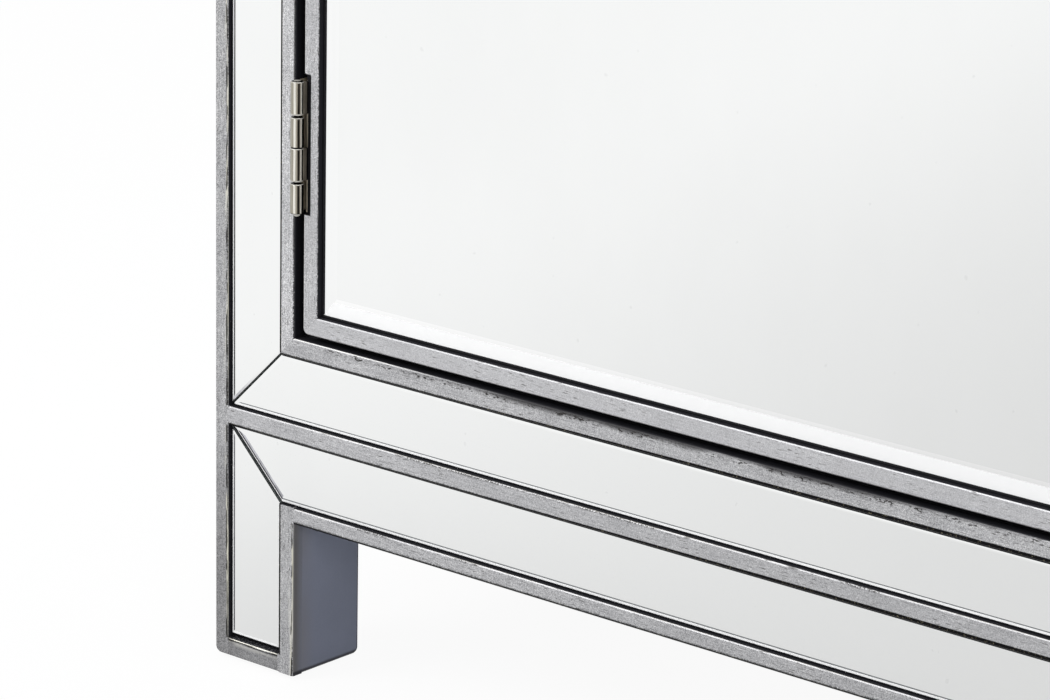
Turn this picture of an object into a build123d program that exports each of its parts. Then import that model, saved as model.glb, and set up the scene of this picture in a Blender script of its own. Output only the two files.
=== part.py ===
"""Mirrored armoire with two doors, modelled piece by piece in millimetres.

X runs across the front, Y runs from the front to the back and Z is up. The origin is on the floor,
in the middle of the whole object's footprint, knobs included. Left and right are the viewer's.
"""

import os
from math import sqrt

from build123d import *

# Overall size
WIDTH = 1016.0
DEPTH = 533.0  # front of the beads to the back of the posts
HEIGHT = 1829.0

# Posts and feet
POST_WIDTH = 48.9
POST_DEPTH = 43.9  # front of the bead to the back of the post
LEG_CLEARANCE = 72.5  # from the foot of a leg up to the underside of the apron
FOOT_ROUND = 3.0
FOOT_EASE = 2.0
EDGE_EASE = 0.8
GLIDE_HEIGHT = 2.0
GLIDE_SIZE = 24.0
GLIDE_EDGE = 0.6

# Beads and mirror strips on the front
BEAD_DEPTH = 6.0
OUTER_BEAD = 8.4
JAMB_BEAD = 9.5
WAIST_BEAD = 9.2
CROWN_BEAD = 9.2
APRON_BEAD = 7.6
FOOT_BEAD = 8.6
RAIL_STRIP = 30.15
JAMB_CORNER = 1.5

# Mirror glass
STRIP_GLASS = 4.0
STRIP_BEVEL_WIDTH = 1.8
STRIP_BEVEL_DROP = 0.7
PANEL_GLASS = 4.0
PANEL_BEVEL_WIDTH = 12.0
PANEL_BEVEL_DROP = 1.0
MIRROR_GAP = 0.35  # left all round each piece of glass

# Boards
BOARD = 16.0
RAIL_BOARD = 20.0
TOP_BOARD = 18.0
BACK_BOARD = 6.0
BACK_INSET = 4.0
BACK_LAP = 10.0
PANEL_RECESS = 5.0  # depth of the seats of the side and top mirrors
PANEL_LIP = 10.0  # width of the edge left around those seats

# Doors
HINGE_GAP = 4.9
MEETING_GAP = 3.0
END_GAP = 2.9  # above and below each door
DOOR_THICKNESS = 20.0
DOOR_FRAME = 9.0
DOOR_CORNER = 3.0
DOOR_GLASS = 5.0
DOOR_GLASS_RECESS = 1.2
DOOR_BEVEL_WIDTH = 11.0
DOOR_BEVEL_DROP = 1.5

# Butt hinges, each with two knuckles on the frame's leaf and two on the door's
HINGES_PER_DOOR = 3
HINGE_INSET = 54.8  # from the end of the door to the end of the hinge
BARREL_RADIUS = 3.0
FRAME_KNUCKLE = 13.3
DOOR_KNUCKLE = 15.0
KNUCKLE_GAPS = (0.9, 0.4, 0.9)  # from the bottom knuckle up
KNUCKLE_CLEARANCE = 0.3
PIN_RADIUS = 1.5
PIN_CLEARANCE = 0.05
PIN_ABOVE = 0.4  # how far a pin stands out of its top knuckle
PIN_BELOW = 1.4
LEAF_THICKNESS = 1.2
LEAF_REACH = 18.5  # from the axis to the far edge of a leaf
LEAF_CLEARANCE = 0.05
AXIS_PROUD = 1.4  # how far the axis stands in front of the door
NOTCH_WIDTH = 3.8
NOTCH_DEPTH = 2.2
NOTCH_BELOW = 0.2
NOTCH_ABOVE = 3.5
NOTCH_FLARE = 1.4  # slant where the top of a notch opens into the gap

# Eight-sided knobs, with radii to the flats
KNOB_SIDES = 8
KNOB_BASE_RADIUS = 9.0
KNOB_BASE = 3.0
KNOB_NECK_RADIUS = 6.0
KNOB_NECK = 9.0  # from the glass to the back of the head
KNOB_RADIUS = 14.0
KNOB_PROJECTION = 26.0  # from the glass to the front of the head
KNOB_BEVEL_WIDTH = 5.5
KNOB_BEVEL_DEPTH = 7.0
KNOB_FROM_EDGE = 36.0  # from the meeting edge of the door
KNOB_HEIGHT = 960.0
KNOB_SCREW_RADIUS = 2.0
KNOB_SCREW_GRIP = 10.0  # length of screw inside the knob
KNOB_SCREW_HEAD_RADIUS = 4.5
KNOB_SCREW_HEAD = 2.5
KNOB_SCREW_CLEARANCE = 0.05

# Inside
HAT_SPACE = 300.0  # between the hat shelf and the top
SHELF_SIDE_GAP = 0.5
SHELF_SETBACK = 8.0  # behind the front posts
CLEAT_WIDTH = 16.0
CLEAT_HEIGHT = 22.0
CLEAT_SETBACK = 30.0  # behind the front posts
ROD_RADIUS = 12.5
ROD_DROP = 62.0  # from the hat shelf to the axis of the rod
ROD_BEHIND_FRONT = 272.0
ROD_CLEARANCE = 0.2
SOCKET_FLOOR = 3.0
SOCKET_WALL = 4.0
SOCKET_LENGTH = 16.0
CATCH_LENGTH = 62.0
CATCH_THICKNESS = 14.0
CATCH_LAP = 20.0  # height that is fixed to the back of the top rail
CATCH_DROP = 22.0  # height that hangs behind the doors
CATCH_EDGE = 1.5
STRIKE_LENGTH = 22.0
STRIKE_HEIGHT = 15.0
STRIKE_THICKNESS = 1.2
STRIKE_CORNER = 3.5
STRIKE_GAP = 0.3
STRIKE_FROM_EDGE = 4.0
STRIKE_BELOW_EDGE = 4.0

# Places across the front, as distances from the middle
X_OUT = WIDTH / 2
X_STRIP_OUT = X_OUT - OUTER_BEAD
X_JAMB = X_OUT - POST_WIDTH
X_STRIP_IN = X_JAMB + JAMB_BEAD
X_DOOR = X_JAMB - HINGE_GAP
X_MEETING = MEETING_GAP / 2
X_AXIS = X_JAMB - HINGE_GAP / 2
X_SIDE = X_OUT - PANEL_RECESS - BOARD  # inner faces of the side panels
X_KNOB = X_MEETING + KNOB_FROM_EDGE

# Heights
Z_FOOT = GLIDE_HEIGHT
Z_FOOT_TOP = Z_FOOT + FOOT_BEAD
Z_APRON = Z_FOOT + LEG_CLEARANCE
Z_APRON_TOP = Z_APRON + APRON_BEAD
Z_WAIST = Z_APRON_TOP + RAIL_STRIP
Z_WAIST_TOP = Z_WAIST + WAIST_BEAD
Z_SILL = Z_WAIST_TOP + RAIL_STRIP
Z_SILL_TOP = Z_SILL + JAMB_BEAD
Z_CROWN = HEIGHT - CROWN_BEAD
Z_LINTEL_TOP = Z_CROWN - RAIL_STRIP
Z_LINTEL = Z_LINTEL_TOP - JAMB_BEAD
Z_TOP_BOARD = HEIGHT - TOP_BOARD
Z_DOOR = Z_SILL_TOP + END_GAP
Z_DOOR_TOP = Z_LINTEL - END_GAP
Z_SHELF_TOP = Z_TOP_BOARD - HAT_SPACE
Z_SHELF = Z_SHELF_TOP - BOARD
Z_ROD = Z_SHELF - ROD_DROP

# Depths behind the front of the beads
RAIL_BACK = BEAD_DEPTH + RAIL_BOARD
REAR_POST = DEPTH - POST_DEPTH
BACK_FACE = DEPTH - BACK_INSET - BACK_BOARD  # front of the back panel
CORE_FACE = DOOR_GLASS_RECESS + DOOR_GLASS
CATCH_FACE = DOOR_THICKNESS + STRIKE_THICKNESS + STRIKE_GAP
LEAF_END = LEAF_REACH - AXIS_PROUD
KNOB_REACH = KNOB_PROJECTION - DOOR_GLASS_RECESS  # how far a knob stands in front of the beads

# Y of the front of the beads, so that the origin is in the middle of the footprint
FRONT = (KNOB_REACH - DEPTH) / 2

# Doors and hinges
DOOR_WIDTH = X_DOOR - X_MEETING
DOOR_HEIGHT = Z_DOOR_TOP - Z_DOOR
DOOR_CENTRE = (-(X_DOOR + X_MEETING) / 2, (Z_DOOR + Z_DOOR_TOP) / 2)
KNUCKLES = (FRAME_KNUCKLE, DOOR_KNUCKLE, FRAME_KNUCKLE, DOOR_KNUCKLE)  # from the bottom up
KNUCKLE_STARTS = [sum(KNUCKLES[:n]) + sum(KNUCKLE_GAPS[:n]) for n in range(len(KNUCKLES))]
HINGE_LENGTH = sum(KNUCKLES) + sum(KNUCKLE_GAPS)
HINGE_STEP = (DOOR_HEIGHT - 2 * HINGE_INSET - HINGE_LENGTH) / (HINGES_PER_DOOR - 1)
HINGE_LEVELS = [Z_DOOR + HINGE_INSET + n * HINGE_STEP for n in range(HINGES_PER_DOOR)]
LEAF_FACE = BARREL_RADIUS - LEAF_THICKNESS  # from the axis to the inner face of a leaf
LEAF_START = sqrt((BARREL_RADIUS + KNUCKLE_CLEARANCE) ** 2 - LEAF_FACE**2)
MORTISE = BARREL_RADIUS + LEAF_CLEARANCE - HINGE_GAP / 2  # depth that a leaf is let into the wood


def save(piece, label):
    """Labels a finished piece and writes it as its own file."""
    piece.part.label = label
    export_step(piece.part, f"parts/{label}.step")


def save_pair(piece, name):
    """Writes a left piece and its opposite-hand copy on the right."""
    with BuildPart() as opposite:
        mirror(piece.part, about=Plane.YZ)
    save(piece, f"left_{name}")
    save(opposite, f"right_{name}")


def save_both(piece, name):
    """Writes a left piece and its opposite-hand copy as one group."""
    with BuildPart() as both:
        add(piece.part)
        mirror(piece.part, about=Plane.YZ)
    save(both, name)


def front_plane(depth):
    """A plane facing the front, at that depth behind the beads, with X across and Z up."""
    return Plane.XZ.offset(-(FRONT + depth))


def box_between(x, depth, z, mode=Mode.ADD):
    """A box between two X places, two depths behind the front and two heights."""
    size = (max(x) - min(x), max(depth) - min(depth), max(z) - min(z))
    with Locations((sum(x) / 2, FRONT + sum(depth) / 2, sum(z) / 2)):
        Box(*size, mode=mode)


def cut_side_seat():
    """Cuts the seat of the left side mirror from the open part."""
    z = (Z_APRON_TOP, Z_CROWN)
    box_between((-X_OUT, -X_OUT + PANEL_RECESS), (PANEL_LIP, DEPTH - PANEL_LIP), z, Mode.SUBTRACT)


def cut_frame_mortises():
    """Lets the left hinges' fixed leaves into the open part."""
    for level in HINGE_LEVELS:
        z = (level - LEAF_CLEARANCE, level + HINGE_LENGTH + LEAF_CLEARANCE)
        box_between((-X_JAMB - MORTISE, -X_JAMB), (0, LEAF_END + LEAF_CLEARANCE), z, Mode.SUBTRACT)


def bead(x, z, along):
    """A flat bead on the front whose two long edges are eased."""
    with BuildPart() as piece:
        box_between(x, (0, BEAD_DEPTH), z)
        face = piece.faces().sort_by(Axis.Y)[0]
        chamfer(face.edges().filter_by(along), EDGE_EASE)
    return piece


def mitred_member(side, centre, size, face_width, back_depth, corner):
    """One side of a mitred frame flush with the beads, with its share of the rounded corners."""
    width, height = size
    along = {"bottom": (1, 0, 0), "right": (0, 0, 1), "top": (-1, 0, 0), "left": (0, 0, -1)}[side]
    half = (width if side in ("bottom", "top") else height) / 2
    out = (height if side in ("bottom", "top") else width) / 2
    origin = (centre[0] + out * along[2], FRONT + back_depth, centre[1] - out * along[0])
    tip = corner * (1 - sqrt(0.5))
    with BuildPart() as member:
        with BuildSketch(Plane(origin, x_dir=along, z_dir=(0, -1, 0))):
            with BuildLine():
                Line((corner - half, 0), (half - corner, 0))
                CenterArc((half - corner, corner), corner, 270, 45)
                Line((half - tip, tip), (half - face_width, face_width))
                Line((half - face_width, face_width), (face_width - half, face_width))
                Line((face_width - half, face_width), (tip - half, tip))
                CenterArc((corner - half, corner), corner, 225, 45)
            make_face()
        extrude(amount=back_depth)
        face = member.faces().sort_by(Axis.Y)[0]
        straight = face.edges().filter_by(Axis.X) + face.edges().filter_by(Axis.Z)
        chamfer(straight + face.edges().filter_by(GeomType.CIRCLE), EDGE_EASE)
    return member


def strip_mirror(corners):
    """A mirror strip on the front, with a narrow bevel round its face."""
    with BuildPart() as strip:
        with BuildSketch(front_plane(BEAD_DEPTH)):
            with BuildLine():
                Polyline(*corners, close=True)
            make_face()
            offset(amount=-MIRROR_GAP, kind=Kind.INTERSECTION)
        extrude(amount=STRIP_GLASS)
        face = strip.faces().sort_by(Axis.Y)[0]
        chamfer(face.edges(), STRIP_BEVEL_WIDTH, STRIP_BEVEL_DROP, reference=face)
    return strip


def hinge_leaves(direction, starts, knuckle):
    """One leaf of every left hinge, curled round the pin at its own knuckles."""
    axes = [Plane((-X_AXIS, FRONT - AXIS_PROUD, level)) for level in HINGE_LEVELS]
    middle = direction * (LEAF_FACE + LEAF_THICKNESS / 2)
    with BuildPart() as leaves:
        for axis in axes:
            for start in starts:
                with BuildSketch(axis.offset(start)):
                    Circle(BARREL_RADIUS)
                extrude(amount=knuckle)
            with BuildSketch(axis):
                with Locations((middle, (LEAF_START + LEAF_REACH) / 2)):
                    Rectangle(LEAF_THICKNESS, LEAF_REACH - LEAF_START)
            extrude(amount=HINGE_LENGTH)
            for start in starts:
                with BuildSketch(axis.offset(start)):
                    with Locations((middle, LEAF_START / 2)):
                        Rectangle(LEAF_THICKNESS, LEAF_START)
                extrude(amount=knuckle)
            with BuildSketch(axis):
                Circle(PIN_RADIUS + PIN_CLEARANCE)
            extrude(amount=HINGE_LENGTH, mode=Mode.SUBTRACT)
    return leaves


os.makedirs("parts", exist_ok=True)

# Butt hinges: a leaf let into each jamb, a leaf let into each door, and the pin through their knuckles
save_both(hinge_leaves(-1, KNUCKLE_STARTS[0::2], FRAME_KNUCKLE), "hinge_frame_leaves")
save_pair(hinge_leaves(1, KNUCKLE_STARTS[1::2], DOOR_KNUCKLE), "hinge_door_leaves")

with BuildPart() as hinge_pins:
    for level in HINGE_LEVELS:
        with BuildSketch(Plane((-X_AXIS, FRONT - AXIS_PROUD, level - PIN_BELOW))):
            Circle(PIN_RADIUS)
        extrude(amount=PIN_BELOW + HINGE_LENGTH + PIN_ABOVE)
save_both(hinge_pins, "hinge_pins")

# Floor glides, a flat pad under each leg
with BuildPart() as foot_glides:
    with BuildSketch(Plane((0, FRONT + DEPTH / 2, 0))):
        with GridLocations(WIDTH - POST_WIDTH, DEPTH - POST_DEPTH, 2, 2):
            Rectangle(GLIDE_SIZE, GLIDE_SIZE)
    extrude(amount=GLIDE_HEIGHT)
    chamfer(foot_glides.edges().group_by(Axis.Z)[0], GLIDE_EDGE)
save(foot_glides, "foot_glides")

# Corner posts, which are the legs below the apron
with BuildPart() as front_post:
    box_between((-X_OUT, -X_JAMB), (BEAD_DEPTH, POST_DEPTH), (Z_FOOT, Z_TOP_BOARD))
    foot = front_post.faces().sort_by(Axis.Z)[0]
    fillet(foot.edges().filter_by(Axis.X).sort_by(Axis.Y)[-1], FOOT_ROUND)
    chamfer(front_post.edges().filter_by(Axis.Z).group_by(Axis.Y)[-1], EDGE_EASE)
    cut_side_seat()
    cut_frame_mortises()
save_pair(front_post, "front_post")

with BuildPart() as rear_post:
    box_between((-X_OUT, -X_JAMB), (REAR_POST, DEPTH), (Z_FOOT, Z_TOP_BOARD))
    foot = rear_post.faces().sort_by(Axis.Z)[0]
    chamfer(foot.edges().filter_by(Axis.X), FOOT_EASE)
    chamfer(rear_post.edges().filter_by(Axis.Z).group_by(Axis.X)[0], EDGE_EASE)
    box_between((-X_JAMB - BACK_LAP, -X_JAMB), (BACK_FACE, DEPTH), (Z_APRON, Z_TOP_BOARD), Mode.SUBTRACT)
    cut_side_seat()
save_pair(rear_post, "rear_post")

# Rails between the front posts
with BuildPart() as front_bottom_rail:
    box_between((-X_JAMB, X_JAMB), (BEAD_DEPTH, RAIL_BACK), (Z_APRON, Z_SILL_TOP))
save(front_bottom_rail, "front_bottom_rail")

with BuildPart() as front_top_rail:
    box_between((-X_JAMB, X_JAMB), (BEAD_DEPTH, RAIL_BACK), (Z_LINTEL, Z_TOP_BOARD))
save(front_top_rail, "front_top_rail")

# Side panels, with a lip under the side mirror
with BuildPart() as side_panel:
    box_between((-X_OUT, -X_SIDE), (POST_DEPTH, REAR_POST), (Z_APRON, Z_TOP_BOARD))
    cut_side_seat()
    box_between((-X_OUT, -X_OUT + PANEL_RECESS), (POST_DEPTH, REAR_POST), (Z_CROWN, Z_TOP_BOARD), Mode.SUBTRACT)
save_pair(side_panel, "side_panel")

# Floor of the cabinet, notched round the posts
with BuildPart() as bottom_board:
    box_between((-X_SIDE, X_SIDE), (RAIL_BACK, BACK_FACE), (Z_SILL_TOP - BOARD, Z_SILL_TOP))
    for x in ((-X_SIDE, -X_JAMB), (X_JAMB, X_SIDE)):
        for depth in ((RAIL_BACK, POST_DEPTH), (REAR_POST, BACK_FACE)):
            box_between(x, depth, (Z_SILL_TOP - BOARD, Z_SILL_TOP), Mode.SUBTRACT)
save(bottom_board, "bottom_board")

# Top, with a seat for its mirror and a step at each end for the side mirrors
with BuildPart() as top_board:
    box_between((-X_OUT, X_OUT), (BEAD_DEPTH, DEPTH), (Z_TOP_BOARD, HEIGHT))
    top_edges = top_board.faces().sort_by(Axis.Z)[-1].edges()
    chamfer(top_edges.sort_by(Axis.Y)[1:], EDGE_EASE)
    seat_x = (PANEL_LIP - X_OUT, X_OUT - PANEL_LIP)
    seat_depth = (PANEL_LIP, DEPTH - PANEL_LIP)
    box_between(seat_x, seat_depth, (HEIGHT - PANEL_RECESS, HEIGHT), Mode.SUBTRACT)
    for x in ((-X_OUT, PANEL_RECESS - X_OUT), (X_OUT - PANEL_RECESS, X_OUT)):
        box_between(x, seat_depth, (Z_TOP_BOARD, Z_CROWN), Mode.SUBTRACT)
save(top_board, "top_board")

with BuildPart() as back_panel:
    x_back = X_JAMB + BACK_LAP
    box_between((-x_back, x_back), (BACK_FACE, BACK_FACE + BACK_BOARD), (Z_APRON, Z_TOP_BOARD))
save(back_panel, "back_panel")

# Beads on the front
with BuildPart() as outer_bead:
    box_between((-X_OUT, -X_STRIP_OUT), (0, BEAD_DEPTH), (Z_FOOT, HEIGHT))
    corner = outer_bead.edges().filter_by(Axis.Y).group_by(Axis.Z)[0].sort_by(Axis.X)[0]
    fillet(corner, FOOT_ROUND)
    face = outer_bead.faces().sort_by(Axis.Y)[0]
    chamfer(face.edges().filter_by(Axis.Z), EDGE_EASE)
save_both(outer_bead, "outer_beads")

save(bead((-X_STRIP_OUT, X_STRIP_OUT), (Z_WAIST, Z_WAIST_TOP), Axis.X), "waist_bead")
save(bead((-X_STRIP_OUT, X_STRIP_OUT), (Z_CROWN, HEIGHT), Axis.X), "crown_bead")
save(bead((-X_JAMB, X_JAMB), (Z_APRON, Z_APRON_TOP), Axis.X), "apron_bead")
save_both(bead((-X_STRIP_OUT, -X_STRIP_IN), (Z_FOOT, Z_FOOT_TOP), Axis.X), "foot_beads")
save_both(bead((-X_STRIP_IN, -X_JAMB), (Z_FOOT, Z_APRON_TOP), Axis.Z), "leg_beads")

# Mitred beads round the door opening
OPENING_CENTRE = (0, (Z_SILL + Z_LINTEL_TOP) / 2)
OPENING_SIZE = (2 * X_STRIP_IN, Z_LINTEL_TOP - Z_SILL)
opening_beads = {
    side: mitred_member(side, OPENING_CENTRE, OPENING_SIZE, JAMB_BEAD, BEAD_DEPTH, JAMB_CORNER)
    for side in ("bottom", "top", "left")
}
save(opening_beads["bottom"], "sill_bead")
save(opening_beads["top"], "lintel_bead")

with BuildPart() as jamb_bead:
    add(opening_beads["left"].part)
    cut_frame_mortises()
save_both(jamb_bead, "jamb_beads")

# Mirror strips on the front, mitred where they meet
stile_corners = [
    (-X_STRIP_OUT, Z_WAIST_TOP),
    (-X_STRIP_IN, Z_SILL),
    (-X_STRIP_IN, Z_LINTEL_TOP),
    (-X_STRIP_OUT, Z_CROWN),
]
save_pair(strip_mirror(stile_corners), "stile_mirror")

leg_corners = [
    (-X_STRIP_OUT, Z_FOOT_TOP),
    (-X_STRIP_IN, Z_FOOT_TOP),
    (-X_STRIP_IN, Z_APRON_TOP),
    (-X_STRIP_OUT, Z_WAIST),
]
save_pair(strip_mirror(leg_corners), "leg_mirror")

for name, outer_level, inner_level in (
    ("sill_mirror", Z_WAIST_TOP, Z_SILL),
    ("lintel_mirror", Z_CROWN, Z_LINTEL_TOP),
    ("apron_mirror", Z_WAIST, Z_APRON_TOP),
):
    rail_corners = [
        (-X_STRIP_OUT, outer_level),
        (X_STRIP_OUT, outer_level),
        (X_STRIP_IN, inner_level),
        (-X_STRIP_IN, inner_level),
    ]
    save(strip_mirror(rail_corners), name)

# Mirrors in the sides and the top
SIDE_SIZE = (DEPTH - 2 * PANEL_LIP - 2 * MIRROR_GAP, Z_CROWN - Z_APRON_TOP - 2 * MIRROR_GAP)
SIDE_CENTRE = (PANEL_RECESS - X_OUT, FRONT + DEPTH / 2, (Z_CROWN + Z_APRON_TOP) / 2)

with BuildPart() as side_mirror:
    with BuildSketch(Plane(SIDE_CENTRE, x_dir=(0, -1, 0), z_dir=(-1, 0, 0))):
        Rectangle(*SIDE_SIZE)
    extrude(amount=PANEL_GLASS)
    face = side_mirror.faces().sort_by(Axis.X)[0]
    chamfer(face.edges(), PANEL_BEVEL_WIDTH, PANEL_BEVEL_DROP, reference=face)
save_pair(side_mirror, "side_mirror")

with BuildPart() as top_mirror:
    with BuildSketch(Plane((0, FRONT + DEPTH / 2, HEIGHT - PANEL_RECESS))):
        Rectangle(WIDTH - 2 * PANEL_LIP - 2 * MIRROR_GAP, DEPTH - 2 * PANEL_LIP - 2 * MIRROR_GAP)
    extrude(amount=PANEL_GLASS)
    face = top_mirror.faces().sort_by(Axis.Z)[-1]
    chamfer(face.edges(), PANEL_BEVEL_WIDTH, PANEL_BEVEL_DROP, reference=face)
save(top_mirror, "top_mirror")

# Door frame of four mitred sides, notched for the hinges along its left side
door_sides = {
    side: mitred_member(side, DOOR_CENTRE, (DOOR_WIDTH, DOOR_HEIGHT), DOOR_FRAME, DOOR_THICKNESS, DOOR_CORNER)
    for side in ("bottom", "right", "top", "left")
}

with BuildPart() as hinge_stile:
    add(door_sides["left"].part)
    for level in HINGE_LEVELS:
        notch_low = level - NOTCH_BELOW
        notch_high = level + HINGE_LENGTH + NOTCH_ABOVE
        notch_in = NOTCH_WIDTH - X_DOOR
        with BuildSketch(front_plane(NOTCH_DEPTH)):
            with BuildLine():
                Polyline(
                    (-X_DOOR, notch_low),
                    (notch_in, notch_low),
                    (notch_in, notch_high),
                    (NOTCH_FLARE - X_DOOR, notch_high),
                    (-X_DOOR, notch_high + NOTCH_FLARE),
                    close=True,
                )
            make_face()
        extrude(amount=NOTCH_DEPTH, mode=Mode.SUBTRACT)
        leaf_z = (level - LEAF_CLEARANCE, level + HINGE_LENGTH + LEAF_CLEARANCE)
        leaf_depth = (NOTCH_DEPTH, LEAF_END + LEAF_CLEARANCE)
        box_between((-X_DOOR, MORTISE - X_DOOR), leaf_depth, leaf_z, Mode.SUBTRACT)
save_pair(hinge_stile, "door_hinge_stile")
save_pair(door_sides["right"], "door_meeting_stile")

with BuildPart() as door_rails:
    add(door_sides["bottom"].part)
    add(door_sides["top"].part)
save_pair(door_rails, "door_rails")

# Door panel behind the glass, drilled for the knob
GLASS_WIDTH = DOOR_WIDTH - 2 * DOOR_FRAME
GLASS_HEIGHT = DOOR_HEIGHT - 2 * DOOR_FRAME

with BuildPart() as door_panel:
    with BuildSketch(front_plane(DOOR_THICKNESS)):
        with Locations(DOOR_CENTRE):
            Rectangle(GLASS_WIDTH, GLASS_HEIGHT)
        with Locations((-X_KNOB, KNOB_HEIGHT)):
            Circle(KNOB_SCREW_RADIUS + KNOB_SCREW_CLEARANCE, mode=Mode.SUBTRACT)
    extrude(amount=DOOR_THICKNESS - CORE_FACE)
save_pair(door_panel, "door_panel")

with BuildPart() as door_mirror:
    with BuildSketch(front_plane(CORE_FACE)):
        with Locations(DOOR_CENTRE):
            Rectangle(GLASS_WIDTH - 2 * MIRROR_GAP, GLASS_HEIGHT - 2 * MIRROR_GAP)
    extrude(amount=DOOR_GLASS)
    face = door_mirror.faces().sort_by(Axis.Y)[0]
    chamfer(face.edges(), DOOR_BEVEL_WIDTH, DOOR_BEVEL_DROP, reference=face)
    with BuildSketch(front_plane(CORE_FACE)):
        with Locations((-X_KNOB, KNOB_HEIGHT)):
            Circle(KNOB_SCREW_RADIUS + KNOB_SCREW_CLEARANCE)
    extrude(amount=DOOR_GLASS, mode=Mode.SUBTRACT)
save_pair(door_mirror, "door_mirror")

# Eight-sided knob: a base, a neck and a head that is bevelled towards its front and its back
knob_stages = (
    (0, KNOB_BASE, KNOB_BASE_RADIUS),
    (KNOB_BASE, KNOB_NECK, KNOB_NECK_RADIUS),
    (KNOB_NECK, KNOB_PROJECTION, KNOB_RADIUS),
)

with BuildPart() as knob:
    for start, end, radius in knob_stages:
        with BuildSketch(front_plane(DOOR_GLASS_RECESS - start)):
            with Locations((-X_KNOB, KNOB_HEIGHT)):
                RegularPolygon(radius, KNOB_SIDES, major_radius=False, rotation=180 / KNOB_SIDES)
        extrude(amount=end - start)
    head_faces = knob.faces().filter_by(Axis.Y).sort_by(SortBy.AREA)[-2:].sort_by(Axis.Y)
    for face in head_faces:
        chamfer(face.outer_wire().edges(), KNOB_BEVEL_WIDTH, KNOB_BEVEL_DEPTH, reference=face)
    with BuildSketch(front_plane(DOOR_GLASS_RECESS)):
        with Locations((-X_KNOB, KNOB_HEIGHT)):
            Circle(KNOB_SCREW_RADIUS + KNOB_SCREW_CLEARANCE)
    extrude(amount=KNOB_SCREW_GRIP + KNOB_SCREW_CLEARANCE, mode=Mode.SUBTRACT)
save_pair(knob, "knob")

with BuildPart() as knob_screw:
    with BuildSketch(front_plane(DOOR_THICKNESS + KNOB_SCREW_HEAD)):
        with Locations((-X_KNOB, KNOB_HEIGHT)):
            Circle(KNOB_SCREW_HEAD_RADIUS)
    extrude(amount=KNOB_SCREW_HEAD)
    with BuildSketch(front_plane(DOOR_THICKNESS)):
        with Locations((-X_KNOB, KNOB_HEIGHT)):
            Circle(KNOB_SCREW_RADIUS)
    extrude(amount=DOOR_THICKNESS - DOOR_GLASS_RECESS + KNOB_SCREW_GRIP)
save_pair(knob_screw, "knob_screw")

# Magnetic catch under the top rail, and the plates on the doors that it holds
with BuildPart() as magnetic_catch:
    catch_x = (-CATCH_LENGTH / 2, CATCH_LENGTH / 2)
    catch_back = RAIL_BACK + CATCH_THICKNESS
    box_between(catch_x, (RAIL_BACK, catch_back), (Z_LINTEL, Z_LINTEL + CATCH_LAP))
    box_between(catch_x, (CATCH_FACE, catch_back), (Z_LINTEL - CATCH_DROP, Z_LINTEL))
    chamfer(magnetic_catch.edges().filter_by(Axis.X).group_by(Axis.Y)[-1], CATCH_EDGE)
save(magnetic_catch, "magnetic_catch")

with BuildPart() as strike_plate:
    strike_x = (-X_MEETING - STRIKE_FROM_EDGE - STRIKE_LENGTH, -X_MEETING - STRIKE_FROM_EDGE)
    strike_top = Z_DOOR_TOP - STRIKE_BELOW_EDGE
    strike_depth = (DOOR_THICKNESS, DOOR_THICKNESS + STRIKE_THICKNESS)
    box_between(strike_x, strike_depth, (strike_top - STRIKE_HEIGHT, strike_top))
    chamfer(strike_plate.edges().filter_by(Axis.Y), STRIKE_CORNER)
save_pair(strike_plate, "strike_plate")

# Hat shelf, notched round the rear posts
with BuildPart() as hat_shelf:
    x_shelf = X_SIDE - SHELF_SIDE_GAP
    shelf_z = (Z_SHELF, Z_SHELF_TOP)
    box_between((-x_shelf, x_shelf), (POST_DEPTH + SHELF_SETBACK, BACK_FACE - SHELF_SIDE_GAP), shelf_z)
    for x in ((-x_shelf, SHELF_SIDE_GAP - X_JAMB), (X_JAMB - SHELF_SIDE_GAP, x_shelf)):
        box_between(x, (REAR_POST - SHELF_SIDE_GAP, BACK_FACE), shelf_z, Mode.SUBTRACT)
    nose = hat_shelf.faces().sort_by(Axis.Y)[0]
    chamfer(nose.edges().filter_by(Axis.X), EDGE_EASE)
save(hat_shelf, "hat_shelf")

with BuildPart() as shelf_cleat:
    cleat_z = (Z_SHELF - CLEAT_HEIGHT, Z_SHELF)
    box_between((-X_SIDE, CLEAT_WIDTH - X_SIDE), (POST_DEPTH + CLEAT_SETBACK, REAR_POST), cleat_z)
save_both(shelf_cleat, "shelf_cleats")

# Hanging rod and the sockets that hold its ends
ROD_PLANE = Plane((-X_SIDE, FRONT + ROD_BEHIND_FRONT, Z_ROD), x_dir=(0, 1, 0), z_dir=(1, 0, 0))
ROD_END = SOCKET_FLOOR + ROD_CLEARANCE

with BuildPart() as hanging_rod:
    with BuildSketch(ROD_PLANE.offset(ROD_END)):
        Circle(ROD_RADIUS)
    extrude(amount=2 * X_SIDE - 2 * ROD_END)
save(hanging_rod, "hanging_rod")

with BuildPart() as rod_socket:
    with BuildSketch(ROD_PLANE):
        Circle(ROD_RADIUS + ROD_CLEARANCE + SOCKET_WALL)
    extrude(amount=SOCKET_LENGTH)
    with BuildSketch(ROD_PLANE.offset(SOCKET_FLOOR)):
        Circle(ROD_RADIUS + ROD_CLEARANCE)
    extrude(amount=SOCKET_LENGTH - SOCKET_FLOOR, mode=Mode.SUBTRACT)
save_both(rod_socket, "rod_sockets")
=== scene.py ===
"""Looks of a mirrored armoire with antique silver beads, bevelled mirrors and butt hinges.

Everything is in metres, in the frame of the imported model: X across the front, Y from the front to
the back, Z up. Left and right are the viewer's.
"""

import math

import bmesh
import bpy
from mathutils import Matrix, Vector


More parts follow.
